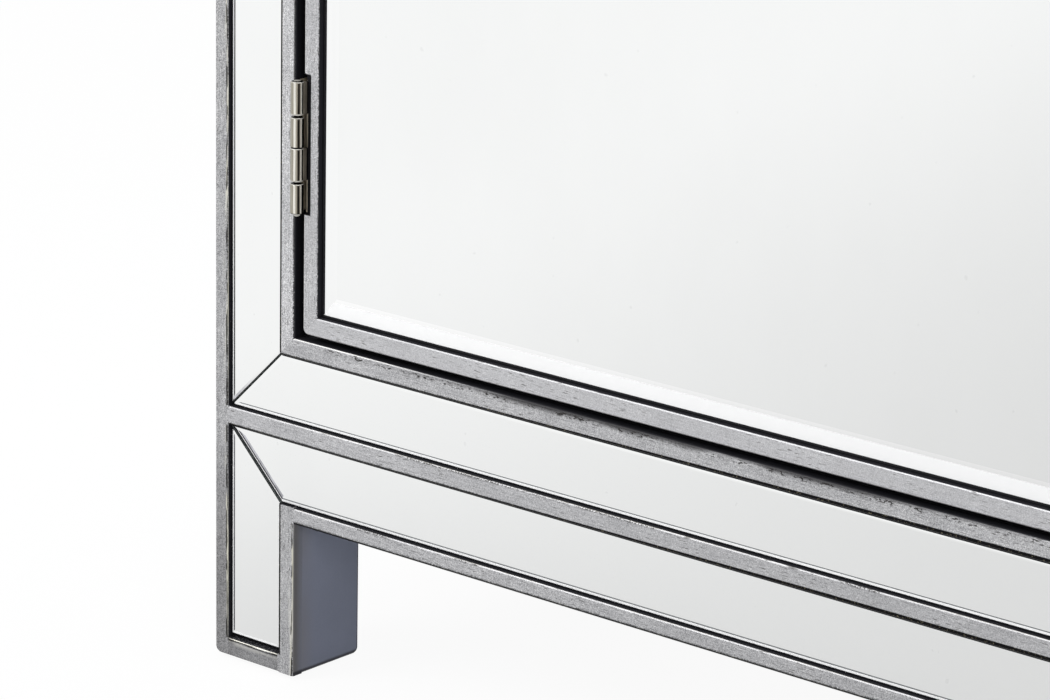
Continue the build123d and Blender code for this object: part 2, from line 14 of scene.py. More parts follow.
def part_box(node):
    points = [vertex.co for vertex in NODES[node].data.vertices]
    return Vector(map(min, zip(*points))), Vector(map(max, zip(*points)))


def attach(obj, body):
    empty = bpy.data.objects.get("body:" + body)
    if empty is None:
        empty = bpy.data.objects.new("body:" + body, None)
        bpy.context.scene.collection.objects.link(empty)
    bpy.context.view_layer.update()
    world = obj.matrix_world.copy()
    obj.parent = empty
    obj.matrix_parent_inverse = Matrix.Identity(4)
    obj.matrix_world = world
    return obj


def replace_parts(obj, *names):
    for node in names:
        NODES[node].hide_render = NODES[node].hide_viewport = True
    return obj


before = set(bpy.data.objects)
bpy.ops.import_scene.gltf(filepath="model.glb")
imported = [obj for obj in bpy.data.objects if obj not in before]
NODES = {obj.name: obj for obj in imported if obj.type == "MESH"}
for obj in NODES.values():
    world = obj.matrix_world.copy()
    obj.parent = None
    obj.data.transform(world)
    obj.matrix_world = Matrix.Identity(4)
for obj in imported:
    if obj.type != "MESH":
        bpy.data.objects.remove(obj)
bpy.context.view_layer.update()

SIDES = (("left", -1), ("right", 1))

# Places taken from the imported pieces
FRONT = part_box("waist_bead")[0].y
X_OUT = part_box("outer_beads")[1].x
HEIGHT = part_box("crown_bead")[1].z
X_STRIP_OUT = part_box("waist_bead")[1].x
X_STRIP_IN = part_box("leg_beads")[1].x
X_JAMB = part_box("apron_bead")[1].x
X_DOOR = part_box("right_door_hinge_stile")[1].x
X_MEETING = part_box("right_door_meeting_stile")[0].x
Z_FOOT, Z_FOOT_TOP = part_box("foot_beads")[0].z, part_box("foot_beads")[1].z
Z_APRON, Z_APRON_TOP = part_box("apron_bead")[0].z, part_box("apron_bead")[1].z
Z_WAIST, Z_WAIST_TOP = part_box("waist_bead")[0].z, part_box("waist_bead")[1].z
Z_SILL, Z_SILL_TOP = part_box("sill_bead")[0].z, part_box("sill_bead")[1].z
Z_LINTEL, Z_LINTEL_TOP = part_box("lintel_bead")[0].z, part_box("lintel_bead")[1].z
Z_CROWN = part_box("crown_bead")[0].z
Z_ABOVE_ALL = 2.0
BEAD_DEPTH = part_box("waist_bead")[1].y - FRONT
BEAD_EASE = 0.0008
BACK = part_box("left_rear_post")[1].y
LEG_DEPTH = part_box("left_front_post")[1].y - FRONT
DOOR_FRAME = 0.009
DOOR_LOW, DOOR_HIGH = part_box("right_door_hinge_stile")
DOOR_MIDDLE = (DOOR_LOW.z + DOOR_HIGH.z) / 2
DOOR_HALF = (DOOR_HIGH.z - DOOR_LOW.z) / 2

# Hinges: sizes across the axis, then lengths along it
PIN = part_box("hinge_pins")
PIN_RADIUS = 0.0015
BUTTON_RADIUS = 0.0016
BORE_RADIUS = 0.00155
BARREL_RADIUS = 0.003
LEAF_FACE = 0.0018
NOSE_FACE = LEAF_FACE + 0.0007
WEB_START, WEB_END = 0.0007, 0.0031
LEAF_EDGE = 0.0040
NECK_EDGE = LEAF_EDGE + 0.0002
LEAF_NECK = 0.0056
LEAF_REACH = 0.0185
LEAF_SCREWS, LEAF_SCREW_DEPTH, LEAF_SCREW_RADIUS = 3, 0.0105, 0.0025
X_AXIS = PIN[1].x - PIN_RADIUS
Y_AXIS = (PIN[0].y + PIN[1].y) / 2
FRAME_KNUCKLE = 0.0133
DOOR_KNUCKLE = 0.0150
KNUCKLE_GAPS = (0.0009, 0.0004, 0.0009)
KNUCKLES = (FRAME_KNUCKLE, DOOR_KNUCKLE, FRAME_KNUCKLE, DOOR_KNUCKLE)
KNUCKLE_STARTS = [sum(KNUCKLES[:n]) + sum(KNUCKLE_GAPS[:n]) for n in range(4)]
HINGE_LENGTH = sum(KNUCKLES) + sum(KNUCKLE_GAPS)
FINE_ROUND, SOFT_ROUND = 0.0003, 0.0009
NOTCH_WIDTH = 0.0038
NOTCH_TOP = HINGE_LENGTH + 0.0030
LOWEST_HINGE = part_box("hinge_frame_leaves")[0].z
HIGHEST_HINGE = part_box("hinge_frame_leaves")[1].z - HINGE_LENGTH
HINGE_LEVELS = (LOWEST_HINGE, (LOWEST_HINGE + HIGHEST_HINGE) / 2, HIGHEST_HINGE)
UPWARD = Vector((0, 0, 1))
BACKWARD = Vector((0, 1, 0))

# Noise scales of paint brushed along X or Z, and how much of its tone the streaks and patches make up
STREAK = {"x": (55.0, 1900.0, 1900.0), "z": (1900.0, 1900.0, 55.0)}
DASH = {"x": (200.0, 2200.0, 2200.0), "z": (2200.0, 2200.0, 200.0)}
STREAK_SHARE = {"x": 0.26, "z": 0.20}
PATCH_SHARE = 0.12

# Colours of the paint, and of painted shade and highlights
SILVER_TONES = [
    (0.34, (0.10, 0.10, 0.107)),
    (0.45, (0.42, 0.42, 0.434)),
    (0.55, (0.61, 0.61, 0.624)),
    (0.66, (0.95, 0.947, 0.94)),
]
SILVER_METAL = 0.82
DASH_BROWN = (0.06, 0.056, 0.052)
STAIN_BROWN = (0.035, 0.032, 0.030)
SCRATCH_BROWN = (0.020, 0.018, 0.017)
FLECK_BROWN = (0.03, 0.027, 0.025)
AMBER = (0.26, 0.23, 0.15)
CREAM_ARRIS_AND_HIGHLIGHT = (0.78, 0.76, 0.68)
CREAM_CHIP = (0.72, 0.70, 0.60)
CREAM_RUB = (0.76, 0.75, 0.70)
RIM_HIGHLIGHT = (0.86, 0.85, 0.82)
MIDDLE_FALLOFF_SHADE = (0.10, 0.10, 0.102)
CORNER_DARK, CORNER_LIGHT = (0.09, 0.088, 0.09), (0.25, 0.245, 0.25)
GLAZE_AND_SHADE_BLACK = (0.006, 0.006, 0.009)
BLACK_LINE = (0.006, 0.006, 0.007)
BLACK_FRINGE = (0.012, 0.012, 0.014)
DOOR_SHADOW_BLACK = (0.018, 0.017, 0.018)
BLACK_NOTCH = (0.004, 0.004, 0.005)
GLAZE_SPECK, GLAZE_DUST = (0.03, 0.03, 0.033), (0.13, 0.13, 0.14)
# Painted shade: the inner faces of the legs are silver paint in shade, painted blue-grey, with grain, rubbed
# places and dark lines at the foot and the back
LEG_SHADE_SLATE = (0.250, 0.272, 0.355)
LEG_SHADE_FRONT, LEG_SHADE_BACK = (0.150, 0.145, 0.146), (0.200, 0.208, 0.250)
LEG_SHADE_RUBBED = (0.185, 0.180, 0.190)
LEG_SHADE_GRAIN = (0.06, 0.06, 0.065)
LEG_SHADE_FOOT, LEG_SHADE_RIM = (0.020, 0.020, 0.024), (0.030, 0.030, 0.036)
INSIDE_DARK, INSIDE_LIGHT = (0.085, 0.085, 0.092), (0.105, 0.105, 0.112)
MIRROR = (0.918, 0.926, 0.922)

# Painted reflections: light and dark bands across the barrel of a hinge
BARREL_REFLECTION_BANDS = [
    (0.00, (0.40, 0.38, 0.33)),
    (0.10, (0.38, 0.36, 0.30)),
    (0.16, (0.30, 0.28, 0.23)),
    (0.20, (0.92, 0.89, 0.81)),
    (0.31, (0.99, 0.97, 0.90)),
    (0.345, (0.52, 0.48, 0.40)),
    (0.44, (0.36, 0.33, 0.27)),
    (0.475, (0.16, 0.145, 0.115)),
    (0.515, (0.008, 0.007, 0.005)),
    (0.60, (0.003, 0.002, 0.002)),
    (0.64, (0.14, 0.125, 0.10)),
    (0.69, (0.38, 0.35, 0.29)),
    (0.73, (0.92, 0.89, 0.80)),
    (0.78, (0.88, 0.85, 0.76)),
    (0.805, (0.05, 0.045, 0.04)),
    (0.83, (0.002, 0.002, 0.002)),
]


def scaled(numbers, factor):
    """A colour or a set of scales, times a factor."""
    return tuple(n * factor for n in numbers)


class Wires:
    """A node tree that is written as sums."""

    def __init__(self, tree):
        self.nodes = tree.nodes
        self.links = tree.links

    def put(self, socket, value):
        """Links a socket to another, or sets its number or colour."""
        if isinstance(value, bpy.types.NodeSocket):
            self.links.new(value, socket)
        elif hasattr(socket.default_value, "__len__") and len(socket.default_value) == 4:
            socket.default_value = (*value[:3], 1.0)
        else:
            socket.default_value = value

    def math(self, operation, *values):
        node = self.nodes.new("ShaderNodeMath")
        node.operation = operation
        for socket, value in zip(node.inputs, values):
            self.put(socket, value)
        return node.outputs[0]

    def add(self, a, b):
        return self.math("ADD", a, b)

    def sub(self, a, b):
        return self.math("SUBTRACT", a, b)

    def mul(self, a, b):
        return self.math("MULTIPLY", a, b)

    def div(self, a, b):
        return self.math("DIVIDE", a, b)

    def abs(self, a):
        return self.math("ABSOLUTE", a)

    def largest(self, a, b):
        return self.math("MAXIMUM", a, b)

    def rays(self):
        """1 for rays from the camera, and 1 for those and for what mirrors and glass show."""
        path = self.nodes.new("ShaderNodeLightPath").outputs
        seen = self.largest(path["Is Camera Ray"], path["Is Glossy Ray"])
        return path["Is Camera Ray"], self.largest(seen, path["Is Transmission Ray"])

    def blend(self, factor, a, b, output):
        """Joins a blend of two shaders to the tree's output."""
        node = self.nodes.new("ShaderNodeMixShader")
        self.put(node.inputs[0], factor)
        self.links.new(a, node.inputs[1])
        self.links.new(b, node.inputs[2])
        self.links.new(node.outputs[0], output.inputs["Surface"])


class Shader(Wires):
    """A node material, with the object's coordinates at hand."""

    def __init__(self, name):
        self.material = bpy.data.materials.new(name)
        self.material.use_nodes = True
        super().__init__(self.material.node_tree)
        self.bsdf = self.nodes["Principled BSDF"]
        self.point = self.nodes.new("ShaderNodeTexCoord").outputs["Object"]
        parts = self.nodes.new("ShaderNodeSeparateXYZ")
        self.links.new(self.point, parts.inputs[0])
        self.x, self.y, self.z = parts.outputs

    def noise(self, scale, detail, roughness):
        """Noise of one scale, or of a scale for each axis."""
        node = self.nodes.new("ShaderNodeTexNoise")
        if isinstance(scale, tuple):
            stretch = self.nodes.new("ShaderNodeVectorMath")
            stretch.operation = "MULTIPLY"
            self.put(stretch.inputs[0], self.point)
            self.put(stretch.inputs[1], scale)
            self.put(node.inputs["Vector"], stretch.outputs[0])
            scale = 1.0
        else:
            self.put(node.inputs["Vector"], self.point)
        node.inputs["Scale"].default_value = scale
        node.inputs["Detail"].default_value = detail
        node.inputs["Roughness"].default_value = roughness
        return node.outputs[0]

    def step(self, value, low, high, to_low=0.0, to_high=1.0):
        """A smooth step from one value to another."""
        node = self.nodes.new("ShaderNodeMapRange")
        node.interpolation_type = "SMOOTHSTEP"
        self.put(node.inputs["Value"], value)
        node.inputs["From Min"].default_value = low
        node.inputs["From Max"].default_value = high
        node.inputs["To Min"].default_value = to_low
        node.inputs["To Max"].default_value = to_high
        return node.outputs[0]

    def fall(self, value, low, high, top=1.0):
        """A smooth step down to nothing."""
        return self.step(value, low, high, top, 0.0)

    def ramp(self, value, stops):
        node = self.nodes.new("ShaderNodeValToRGB")
        elements = node.color_ramp.elements
        while len(elements) < len(stops):
            elements.new(0.5)
        for element, (place, colour) in zip(elements, stops):
            element.position = place
            element.color = (*colour, 1.0)
        self.put(node.inputs[0], value)
        return node.outputs[0]

    def mix(self, factor, a, b):
        node = self.nodes.new("ShaderNodeMix")
        node.data_type = "RGBA"
        self.put(node.inputs[0], factor)
        self.put(node.inputs[6], a)
        self.put(node.inputs[7], b)
        return node.outputs[2]

    def bump(self, height, strength, distance):
        node = self.nodes.new("ShaderNodeBump")
        node.inputs["Strength"].default_value = strength
        node.inputs["Distance"].default_value = distance
        self.put(node.inputs["Height"], height)
        self.put(self.bsdf.inputs["Normal"], node.outputs[0])

    def finish(self, **values):
        """Sets the sockets of the main shader and gives the material."""
        for name, value in values.items():
            self.put(self.bsdf.inputs[name.replace("_", " ")], value)
        return self.material


def silver_coat(s, along, shade, grain_depth=1.0):
    """Brushed silver paint: its colour and its relief, streaked along one axis."""
    streak = s.noise(STREAK[along], 4.0, 0.6)
    grain = s.noise(2600.0, 1.0, 0.5)
    patch = s.noise(45.0, 3.0, 0.5)
    share = STREAK_SHARE[along]
    tone = s.add(s.mul(streak, share), s.mul(grain, 1.0 - PATCH_SHARE - share))
    tone = s.add(tone, s.mul(patch, PATCH_SHARE))
    tone = s.add(s.mul(s.sub(tone, 0.5), grain_depth), 0.5)
    coat = s.ramp(tone, [(place, scaled(colour, shade)) for place, colour in SILVER_TONES])
    dashes = s.noise(DASH[along], 1.0, 0.5)
    dashed = s.mul(s.step(dashes, 0.61, 0.68, 0.0, 0.75), s.step(patch, 0.40, 0.60, 0.25, 1.0))
    return s.mix(dashed, coat, DASH_BROWN), tone


class BeadShader(Shader):
    """Paint of a bead on the front, with the noises that its wear and its painted shade and highlights are made
    of.
    """

    # Where the stained patches start, how far ragged glaze reaches, and the widths of a line of black glaze and
    # painted shade in the middle and near the posts
    STAINED = {"cream": 0.52, "chipped": 0.44, "specks": 0.52}
    FRINGED = {"specks": 0.0006, "ragged": 0.0003}
    LINES = {"dark": (0.0020, 0.0011), "thin": (0.0010, 0.0010), "wide": (0.0015, 0.0015)}

    def __init__(self, name, along, across, centre):
        super().__init__(name)
        self.along = along
        self.beside = self.abs(self.x)
        self.place = self.abs(self.sub({"x": self.x, "z": self.z}[across], centre))
        self.wear = self.noise(scaled(STREAK[along], 0.35), 3.0, 0.6)
        self.specks = self.noise(1300.0, 2.0, 0.6)
        self.patches = self.noise(26.0, 2.0, 0.5)
        self.ragged = self.mul(self.sub(self.specks, 0.5), 0.0016)

    def edge_wear_and_light(self, coat, edge, style):
        """The coat, with one edge given wear, painted shade or a painted highlight in a style; edge is the
        distance from it.
        """
        near = self.add(edge, self.ragged)
        if style in self.STAINED:
            many = self.STAINED[style]
            stain_and_door_shadow = self.fall(near, 0.0009, 0.0017, 0.85)
            stain_and_door_shadow = self.mul(stain_and_door_shadow, self.step(self.patches, many, many + 0.08))
            coat = self.mix(self.mul(stain_and_door_shadow, self.step(self.specks, 0.46, 0.54)), coat, STAIN_BROWN)
        if style in self.FRINGED:
            reach = self.FRINGED[style]
            coat = self.mix(self.fall(near, reach, reach + 0.0005, 0.9), coat, BLACK_FRINGE)
        # Cream arrises: paint rubbed through to a cream ground, and also a painted highlight along the edge
        if style in ("cream", "chipped"):
            arris = self.mul(self.fall(edge, 0.0002, 0.0006), self.step(self.wear, 0.40, 0.56, 0.15, 0.9))
            coat = self.mix(arris, coat, CREAM_ARRIS_AND_HIGHLIGHT)
        if style == "chipped":
            coat = self.chips(coat, edge, near)
        if style in self.LINES:
            coat = self.line(coat, edge, near, *self.LINES[style])
        # Painted highlight: a clean bright line along the arris
        if style == "rim":
            coat = self.mix(self.fall(edge, 0.0007, 0.0010, 0.85), coat, RIM_HIGHLIGHT)
        # Painted shadow of the doors along the top of the sill bead
        if style == "sooty":
            coat = self.door_shadow_and_flecks(coat, edge)
        return coat

    def chips(self, coat, edge, near):
        """Chips and rubbed places down to the ground, and dark scratches along the edge."""
        chip = self.mul(self.fall(near, 0.0012, 0.0018), self.step(self.wear, 0.52, 0.58))
        coat = self.mix(chip, coat, CREAM_CHIP)
        rubbed = self.mul(self.fall(near, 0.0010, 0.0042), self.step(self.patches, 0.54, 0.62, 0.0, 0.6))
        coat = self.mix(self.mul(rubbed, self.step(self.wear, 0.46, 0.56)), coat, CREAM_RUB)
        scratch = self.mul(self.step(edge, 0.0005, 0.0007), self.fall(edge, 0.0013, 0.0016, 0.9))
        scratches = self.noise(scaled(DASH[self.along], 0.6), 1.0, 0.5)
        return self.mix(self.mul(scratch, self.step(scratches, 0.47, 0.53)), coat, SCRATCH_BROWN)

    def line(self, coat, edge, near, middle_width, end_width):
        """A line of black glaze, which is also painted shade along the edge, with amber flecks."""
        width = middle_width
        if end_width != middle_width:
            width = self.step(self.beside, 0.10, 0.42, middle_width, end_width)
        line = self.fall(self.div(edge, width), 1.0, 1.15)
        fringe = self.fall(near, 0.0010, 0.0018, 0.7)
        glaze_and_shade = self.mix(self.step(self.specks, 0.60, 0.68, 0.0, 0.5), BLACK_LINE, AMBER)
        return self.mix(self.largest(line, fringe), coat, glaze_and_shade)

    def door_shadow_and_flecks(self, coat, edge):
        """Painted shadow of the doors on the bead under their gap, dark flecks along it, and a painted highlight
        on its rim near the posts.
        """
        reach = self.mul(self.step(self.patches, 0.36, 0.64, 0.35, 1.0), 0.0040)
        reach = self.mul(reach, self.step(self.beside, 0.10, 0.22, 0.55, 1.0))
        stain_and_door_shadow = self.fall(self.div(edge, reach), 0.10, 1.0, 0.95)
        coat = self.mix(self.mul(stain_and_door_shadow, self.fall(self.beside, 0.32, 0.43)), coat, DOOR_SHADOW_BLACK)
        band = self.mul(self.step(edge, 0.0008, 0.0012), self.fall(edge, 0.0022, 0.0036))
        band = self.mul(band, self.fall(self.beside, 0.43, 0.45))
        band = self.mul(band, self.step(self.noise(130.0, 1.0, 0.5), 0.40, 0.58, 0.3, 1.0))
        flecks = self.step(self.noise((560.0, 1300.0, 1300.0), 2.0, 0.6), 0.53, 0.57, 0.0, 0.95)
        coat = self.mix(self.mul(band, flecks), coat, FLECK_BROWN)
        rim = self.mul(self.fall(edge, 0.0004, 0.0008, 0.7), self.step(self.beside, 0.36, 0.43))
        return self.mix(rim, coat, RIM_HIGHLIGHT)

    def notches(self, coat):
        """A dark outline round the notches for the hinges."""
        inner = X_DOOR - NOTCH_WIDTH
        gap = self.step(self.place, inner - 0.0007, inner - 0.0005)
        for level in HINGE_LEVELS:
            top = level + NOTCH_TOP
            beside = self.step(self.z, level - 0.0006, level - 0.0004)
            beside = self.mul(beside, self.fall(self.z, top, top + 0.001))
            coat = self.mix(self.mul(gap, beside), coat, BLACK_NOTCH)
        return coat

    def glazed_and_shaded_sides(self, kind, tone, low, high):
        """Where the sides of the bead show, and their colour: black glaze that is also painted shade of the
        recesses, or blue-grey painted shade on the legs.
        """
        side = self.step(self.sub(self.y, FRONT), 0.00030, 0.00055)
        dark = self.mix(self.step(self.specks, 0.62, 0.70, 0.0, 0.4), GLAZE_AND_SHADE_BLACK, GLAZE_SPECK)
        if kind == "dusty":
            dark = self.mix(self.step(self.specks, 0.50, 0.62, 0.0, 0.8), GLAZE_AND_SHADE_BLACK, GLAZE_DUST)
        elif kind == "outer":
            side = self.mul(side, self.fall(self.place, high - 0.0009, high - 0.0008))
        elif kind == "inner":
            # Painted shade on the legs: blue-grey, darker and warmer at the front, with grain and a dark line at
            # the foot
            leg_side_shade = self.mix(self.step(self.y, FRONT + 0.001, FRONT + BEAD_DEPTH), LEG_SHADE_FRONT, LEG_SHADE_BACK)
            leg_side_shade = self.mix(self.fall(tone, 0.3, 0.7, 0.15), leg_side_shade, LEG_SHADE_GRAIN)
            leg_side_shade = self.mix(self.fall(self.z, 0.0032, 0.0046, 0.92), leg_side_shade, LEG_SHADE_FOOT)
            dark = self.mix(self.fall(self.place, low + 0.0008, low + 0.0009), dark, leg_side_shade)
        return side, dark


def bead_paint(
    name, along, across, low, high, low_style=None, high_style=None,
    centre=0.0, shade=1.0, grain_depth=1.0, sides="black", butts=(), notched=False,
):
    """Paint of a bead on the front: silver face, arrises with wear, painted shade or painted highlights, and
    black glaze with painted shade down its sides.

    The grain runs along one axis. Across the other, the edges lie at low and high on both sides of the centre,
    and each has a style of wear, painted shade or painted highlight, except between the heights in butts, where
    another bead joins.
    The sides are all black, which is glaze and painted shade, or dusty, or silver on the outer one, or a
    blue-grey painted shade on the inner one.
    """
    s = BeadShader(name, along, across, centre)
    coat, tone = silver_coat(s, along, shade, grain_depth)
    # Darker and speckled towards the floor at the outer corners of the front
    corner = s.mul(s.step(s.beside, 0.482, 0.505), s.fall(s.z, 0.04, 0.13, 0.58))
    coat = s.mix(corner, coat, s.mix(s.step(s.specks, 0.35, 0.65), CORNER_DARK, CORNER_LIGHT))
    # Painted shade: the apron, waist and lintel beads turn a little darker towards the middle, where less light
    # falls
    if low_style in ("dark", "thin") and high_style == "cream":
        coat = s.mix(s.fall(s.beside, 0.15, 0.44, 0.10), coat, MIDDLE_FALLOFF_SHADE)
    edges = {"low": s.sub(s.place, low), "high": s.sub(high, s.place)}
    for which, bottom, top in butts:
        away = s.largest(s.sub(bottom, s.z), s.sub(s.z, top))
        edges[which] = s.add(edges[which], s.fall(away, -0.0006, 0.0, 0.01))
    coat = s.edge_wear_and_light(coat, edges["low"], low_style)
    coat = s.edge_wear_and_light(coat, edges["high"], high_style)
    if notched:
        coat = s.notches(coat)
    side, dark = s.glazed_and_shaded_sides(sides, tone, low, high)
    s.bump(tone, 0.3, 0.0002)
    return s.finish(
        Base_Color=s.mix(side, coat, dark),
        Metallic=s.sub(SILVER_METAL, s.mul(side, SILVER_METAL)),
        Roughness=s.largest(s.step(tone, 0.3, 0.7, 0.36, 0.58), s.mul(side, 0.75)),
        Specular_IOR_Level=0.2,
    )


def rod_paint(name):
    """Brushed silver paint on the hanging rod."""
    s = Shader(name)
    coat, tone = silver_coat(s, "x", 0.9)
    s.bump(tone, 0.3, 0.0002)
    rough = s.step(tone, 0.3, 0.7, 0.36, 0.58)
    return s.finish(Base_Color=coat, Metallic=SILVER_METAL, Roughness=rough, Specular_IOR_Level=0.2)


def frame_paint(name, along):
    """Paint of the frame: silver outside, painted shade on the legs in blue-grey and in the gaps in black, and
    grey inside.
    """
    s = Shader(name)
    coat, tone = silver_coat(s, along, 0.95)
    outer = s.step(s.abs(s.x), X_OUT - 0.0012, X_OUT - 0.0008)
    outer = s.largest(outer, s.step(s.y, BACK - 0.0012, BACK - 0.0008))
    outer = s.largest(outer, s.step(s.z, HEIGHT - 0.0012, HEIGHT - 0.0008))
    cloud = s.noise(30.0, 3.0, 0.5)
    leg_back = FRONT + LEG_DEPTH
    # Painted light and shade on the inner faces of the legs: lighter towards the top and the back, darker at the
    # foot and the front, with cloudy tone and grain
    light = s.add(s.step(s.z, 0.02, Z_APRON, 0.05, 0.60), s.step(s.y, FRONT + 0.010, leg_back, 0.0, 0.30))
    light = s.add(light, s.step(cloud, 0.3, 0.7, -0.10, 0.10))
    light = s.add(light, s.mul(s.sub(tone, 0.5), 0.8))
    leg = s.mix(light, scaled(LEG_SHADE_SLATE, 0.78), scaled(LEG_SHADE_SLATE, 1.15))
    rubbed = s.mul(s.fall(s.y, FRONT + 0.004, FRONT + 0.016, 0.7), s.step(cloud, 0.35, 0.6, 0.5, 1.0))
    leg = s.mix(rubbed, leg, LEG_SHADE_RUBBED)
    rim = s.step(s.y, leg_back - 0.0018, leg_back - 0.0008, 0.0, 0.92)
    rim = s.largest(s.fall(s.z, 0.0032, 0.0046, 0.92), rim)
    leg = s.mix(s.mul(rim, s.fall(s.y, 0.0, 0.01)), leg, LEG_SHADE_RIM)
    grey = s.mix(cloud, INSIDE_DARK, INSIDE_LIGHT)
    # Painted shade: inside, the faces are black near the front, where the gaps round the doors lie in shade, and
    # grey further in; below the apron they take the painted shade of the legs
    inner = s.mix(s.step(s.y, FRONT + 0.012, FRONT + 0.030), GLAZE_AND_SHADE_BLACK, grey)
    inner = s.mix(s.step(s.z, Z_APRON - 0.0004, Z_APRON + 0.0004), leg, inner)
    s.bump(tone, 0.2, 0.0002)
    return s.finish(
        Base_Color=s.mix(outer, inner, coat),
        Metallic=s.mul(outer, SILVER_METAL),
        Roughness=s.step(tone, 0.3, 0.7, 0.40, 0.60),
        Specular_IOR_Level=0.25,
    )


def board_paint(name, dark, light):
    """Sprayed paint on board, with faint lines of the board and a little orange peel."""
    s = Shader(name)
    lines = s.noise(scaled(STREAK["x"], 0.12), 4.0, 0.6)
    peel = s.noise(700.0, 2.0, 0.5)
    cloud = s.noise(9.0, 3.0, 0.5)
    tone = s.add(s.mul(lines, 0.5), s.mul(cloud, 0.5))
    s.bump(s.add(s.mul(peel, 0.6), lines), 0.12, 0.0003)
    colour = s.mix(s.step(tone, 0.35, 0.65), dark, light)
    return s.finish(Base_Color=colour, Roughness=s.step(peel, 0.3, 0.7, 0.45, 0.62))


def hardboard(name):
    """Thin pressed board with fibres and flecks."""
    s = Shader(name)
    fibre = s.noise((260.0, 260.0, 900.0), 5.0, 0.7)
    fleck = s.noise(420.0, 3.0, 0.7)
    tones = [(0.3, (0.10, 0.098, 0.096)), (0.5, (0.155, 0.152, 0.15)), (0.7, (0.21, 0.205, 0.20))]
    colour = s.mix(s.step(fleck, 0.60, 0.68, 0.0, 0.5), s.ramp(fibre, tones), (0.30, 0.29, 0.27))
    s.bump(s.add(fibre, fleck), 0.2, 0.0003)
    return s.finish(Base_Color=colour, Roughness=s.step(fleck, 0.3, 0.7, 0.6, 0.8))


def mirror_face(name, colour, smudged, metal=1.0):
    """Silvered glass, with faint smears and dust."""
    s = Shader(name)
    smear = s.noise((9.0, 9.0, 5.0), 4.0, 0.6)
    dust = s.noise(190.0, 2.0, 0.4)
    shade = s.mix(s.step(smear, 0.45, 0.70, 0.0, smudged), colour, scaled(colour, 0.985))
    shade = s.mix(s.step(dust, 0.735, 0.76, 0.0, 0.10 * smudged), shade, (0.5, 0.5, 0.5))
    return s.finish(Base_Color=shade, Metallic=metal, Roughness=s.step(smear, 0.4, 0.8, 0.015, 0.035))


def mitre_shade(name, brightens=None):
    """Painted shade: a grey bevel along a mitre, which may turn as bright as the glass between two heights."""
    s = Shader(name)
    lines = s.noise((300.0, 300.0, 300.0), 2.0, 0.5)
    colour = s.mix(s.step(lines, 0.35, 0.65), (0.40, 0.40, 0.43), (0.60, 0.60, 0.64))
    if brightens:
        colour = s.mix(s.step(s.z, *brightens), colour, MIRROR)
    return s.finish(Base_Color=colour, Metallic=1.0, Roughness=s.step(lines, 0.3, 0.7, 0.04, 0.10))


def glass_edge(name):
    """Ground edge of the glass, grey green, with fine grinding lines."""
    s = Shader(name)
    lines = s.noise((900.0, 90.0, 900.0), 3.0, 0.6)
    colour = s.mix(s.step(lines, 0.35, 0.65), (0.10, 0.125, 0.12), (0.34, 0.38, 0.37))
    return s.finish(Base_Color=colour, Metallic=0.4, Roughness=s.step(lines, 0.3, 0.7, 0.12, 0.30))


def mirror_back(name, dark, light):
    """Paint on the back or round the edge of the glass."""
    s = Shader(name)
    cloud = s.noise(60.0, 4.0, 0.6)
    rough = s.step(cloud, 0.3, 0.7, 0.5, 0.7)
    return s.finish(Base_Color=s.mix(cloud, dark, light), Roughness=rough, Specular_IOR_Level=0.2)


def aged_nickel(name):
    """Nickel plate that has gone brown in patches."""
    s = Shader(name)
    patch = s.noise(300.0, 3.0, 0.55)
    fine = s.noise(1600.0, 2.0, 0.5)
    tones = [
        (0.36, (0.16, 0.14, 0.11)),
        (0.46, (0.42, 0.38, 0.31)),
        (0.54, (0.60, 0.56, 0.48)),
        (0.64, (0.80, 0.77, 0.70)),
    ]
    colour = s.ramp(s.add(s.mul(patch, 0.8), s.mul(fine, 0.2)), tones)
    s.bump(fine, 0.15, 0.0001)
    return s.finish(Base_Color=colour, Metallic=1.0, Roughness=s.step(fine, 0.3, 0.7, 0.16, 0.30))


def barrel_nickel(name):
    """Nickel of the hinges: painted reflections in light and dark bands that run up the barrels, with fine
    streaks of tarnish.
    """
    s = Shader(name)
    sideways = s.sub(s.abs(s.x), X_AXIS)
    inward = s.sub(s.y, Y_AXIS)
    round_it = s.sub(s.mul(inward, 0.687), s.mul(sideways, 0.727))
    wobble = s.noise((700.0, 700.0, 60.0), 2.0, 0.5)
    place = s.add(s.div(round_it, 2 * BARREL_RADIUS), s.mul(wobble, 0.05))
    colour = s.ramp(s.add(place, 0.425), BARREL_REFLECTION_BANDS)
    fine = s.noise((2600.0, 2600.0, 90.0), 2.0, 0.5)
    colour = s.mix(s.step(fine, 0.50, 0.75, 0.0, 0.30), colour, (0.12, 0.10, 0.08))
    s.bump(fine, 0.15, 0.0001)
    rough = s.step(fine, 0.3, 0.7, 0.26, 0.40)
    return s.finish(Base_Color=colour, Metallic=0.75, Roughness=rough, Specular_IOR_Level=0.1)


def plated(name, dark, light, smooth, rough, metal=1.0):
    """Plain plated steel with a fine drawn grain."""
    s = Shader(name)
    grain = s.noise((1500.0, 400.0, 1500.0), 3.0, 0.6)
    cloud = s.noise(160.0, 3.0, 0.5)
    s.bump(grain, 0.1, 0.0001)
    colour = s.mix(s.step(cloud, 0.3, 0.7), dark, light)
    return s.finish(Base_Color=colour, Metallic=metal, Roughness=s.step(grain, 0.3, 0.7, smooth, rough))


def moulded(name, dark, light):
    """Moulded plastic with a fine spark-eroded texture."""
    s = Shader(name)
    grain = s.noise(1800.0, 2.0, 0.5)
    cloud = s.noise(80.0, 2.0, 0.5)
    s.bump(grain, 0.2, 0.0001)
    return s.finish(Base_Color=s.mix(cloud, dark, light), Roughness=s.step(grain, 0.3, 0.7, 0.42, 0.58))


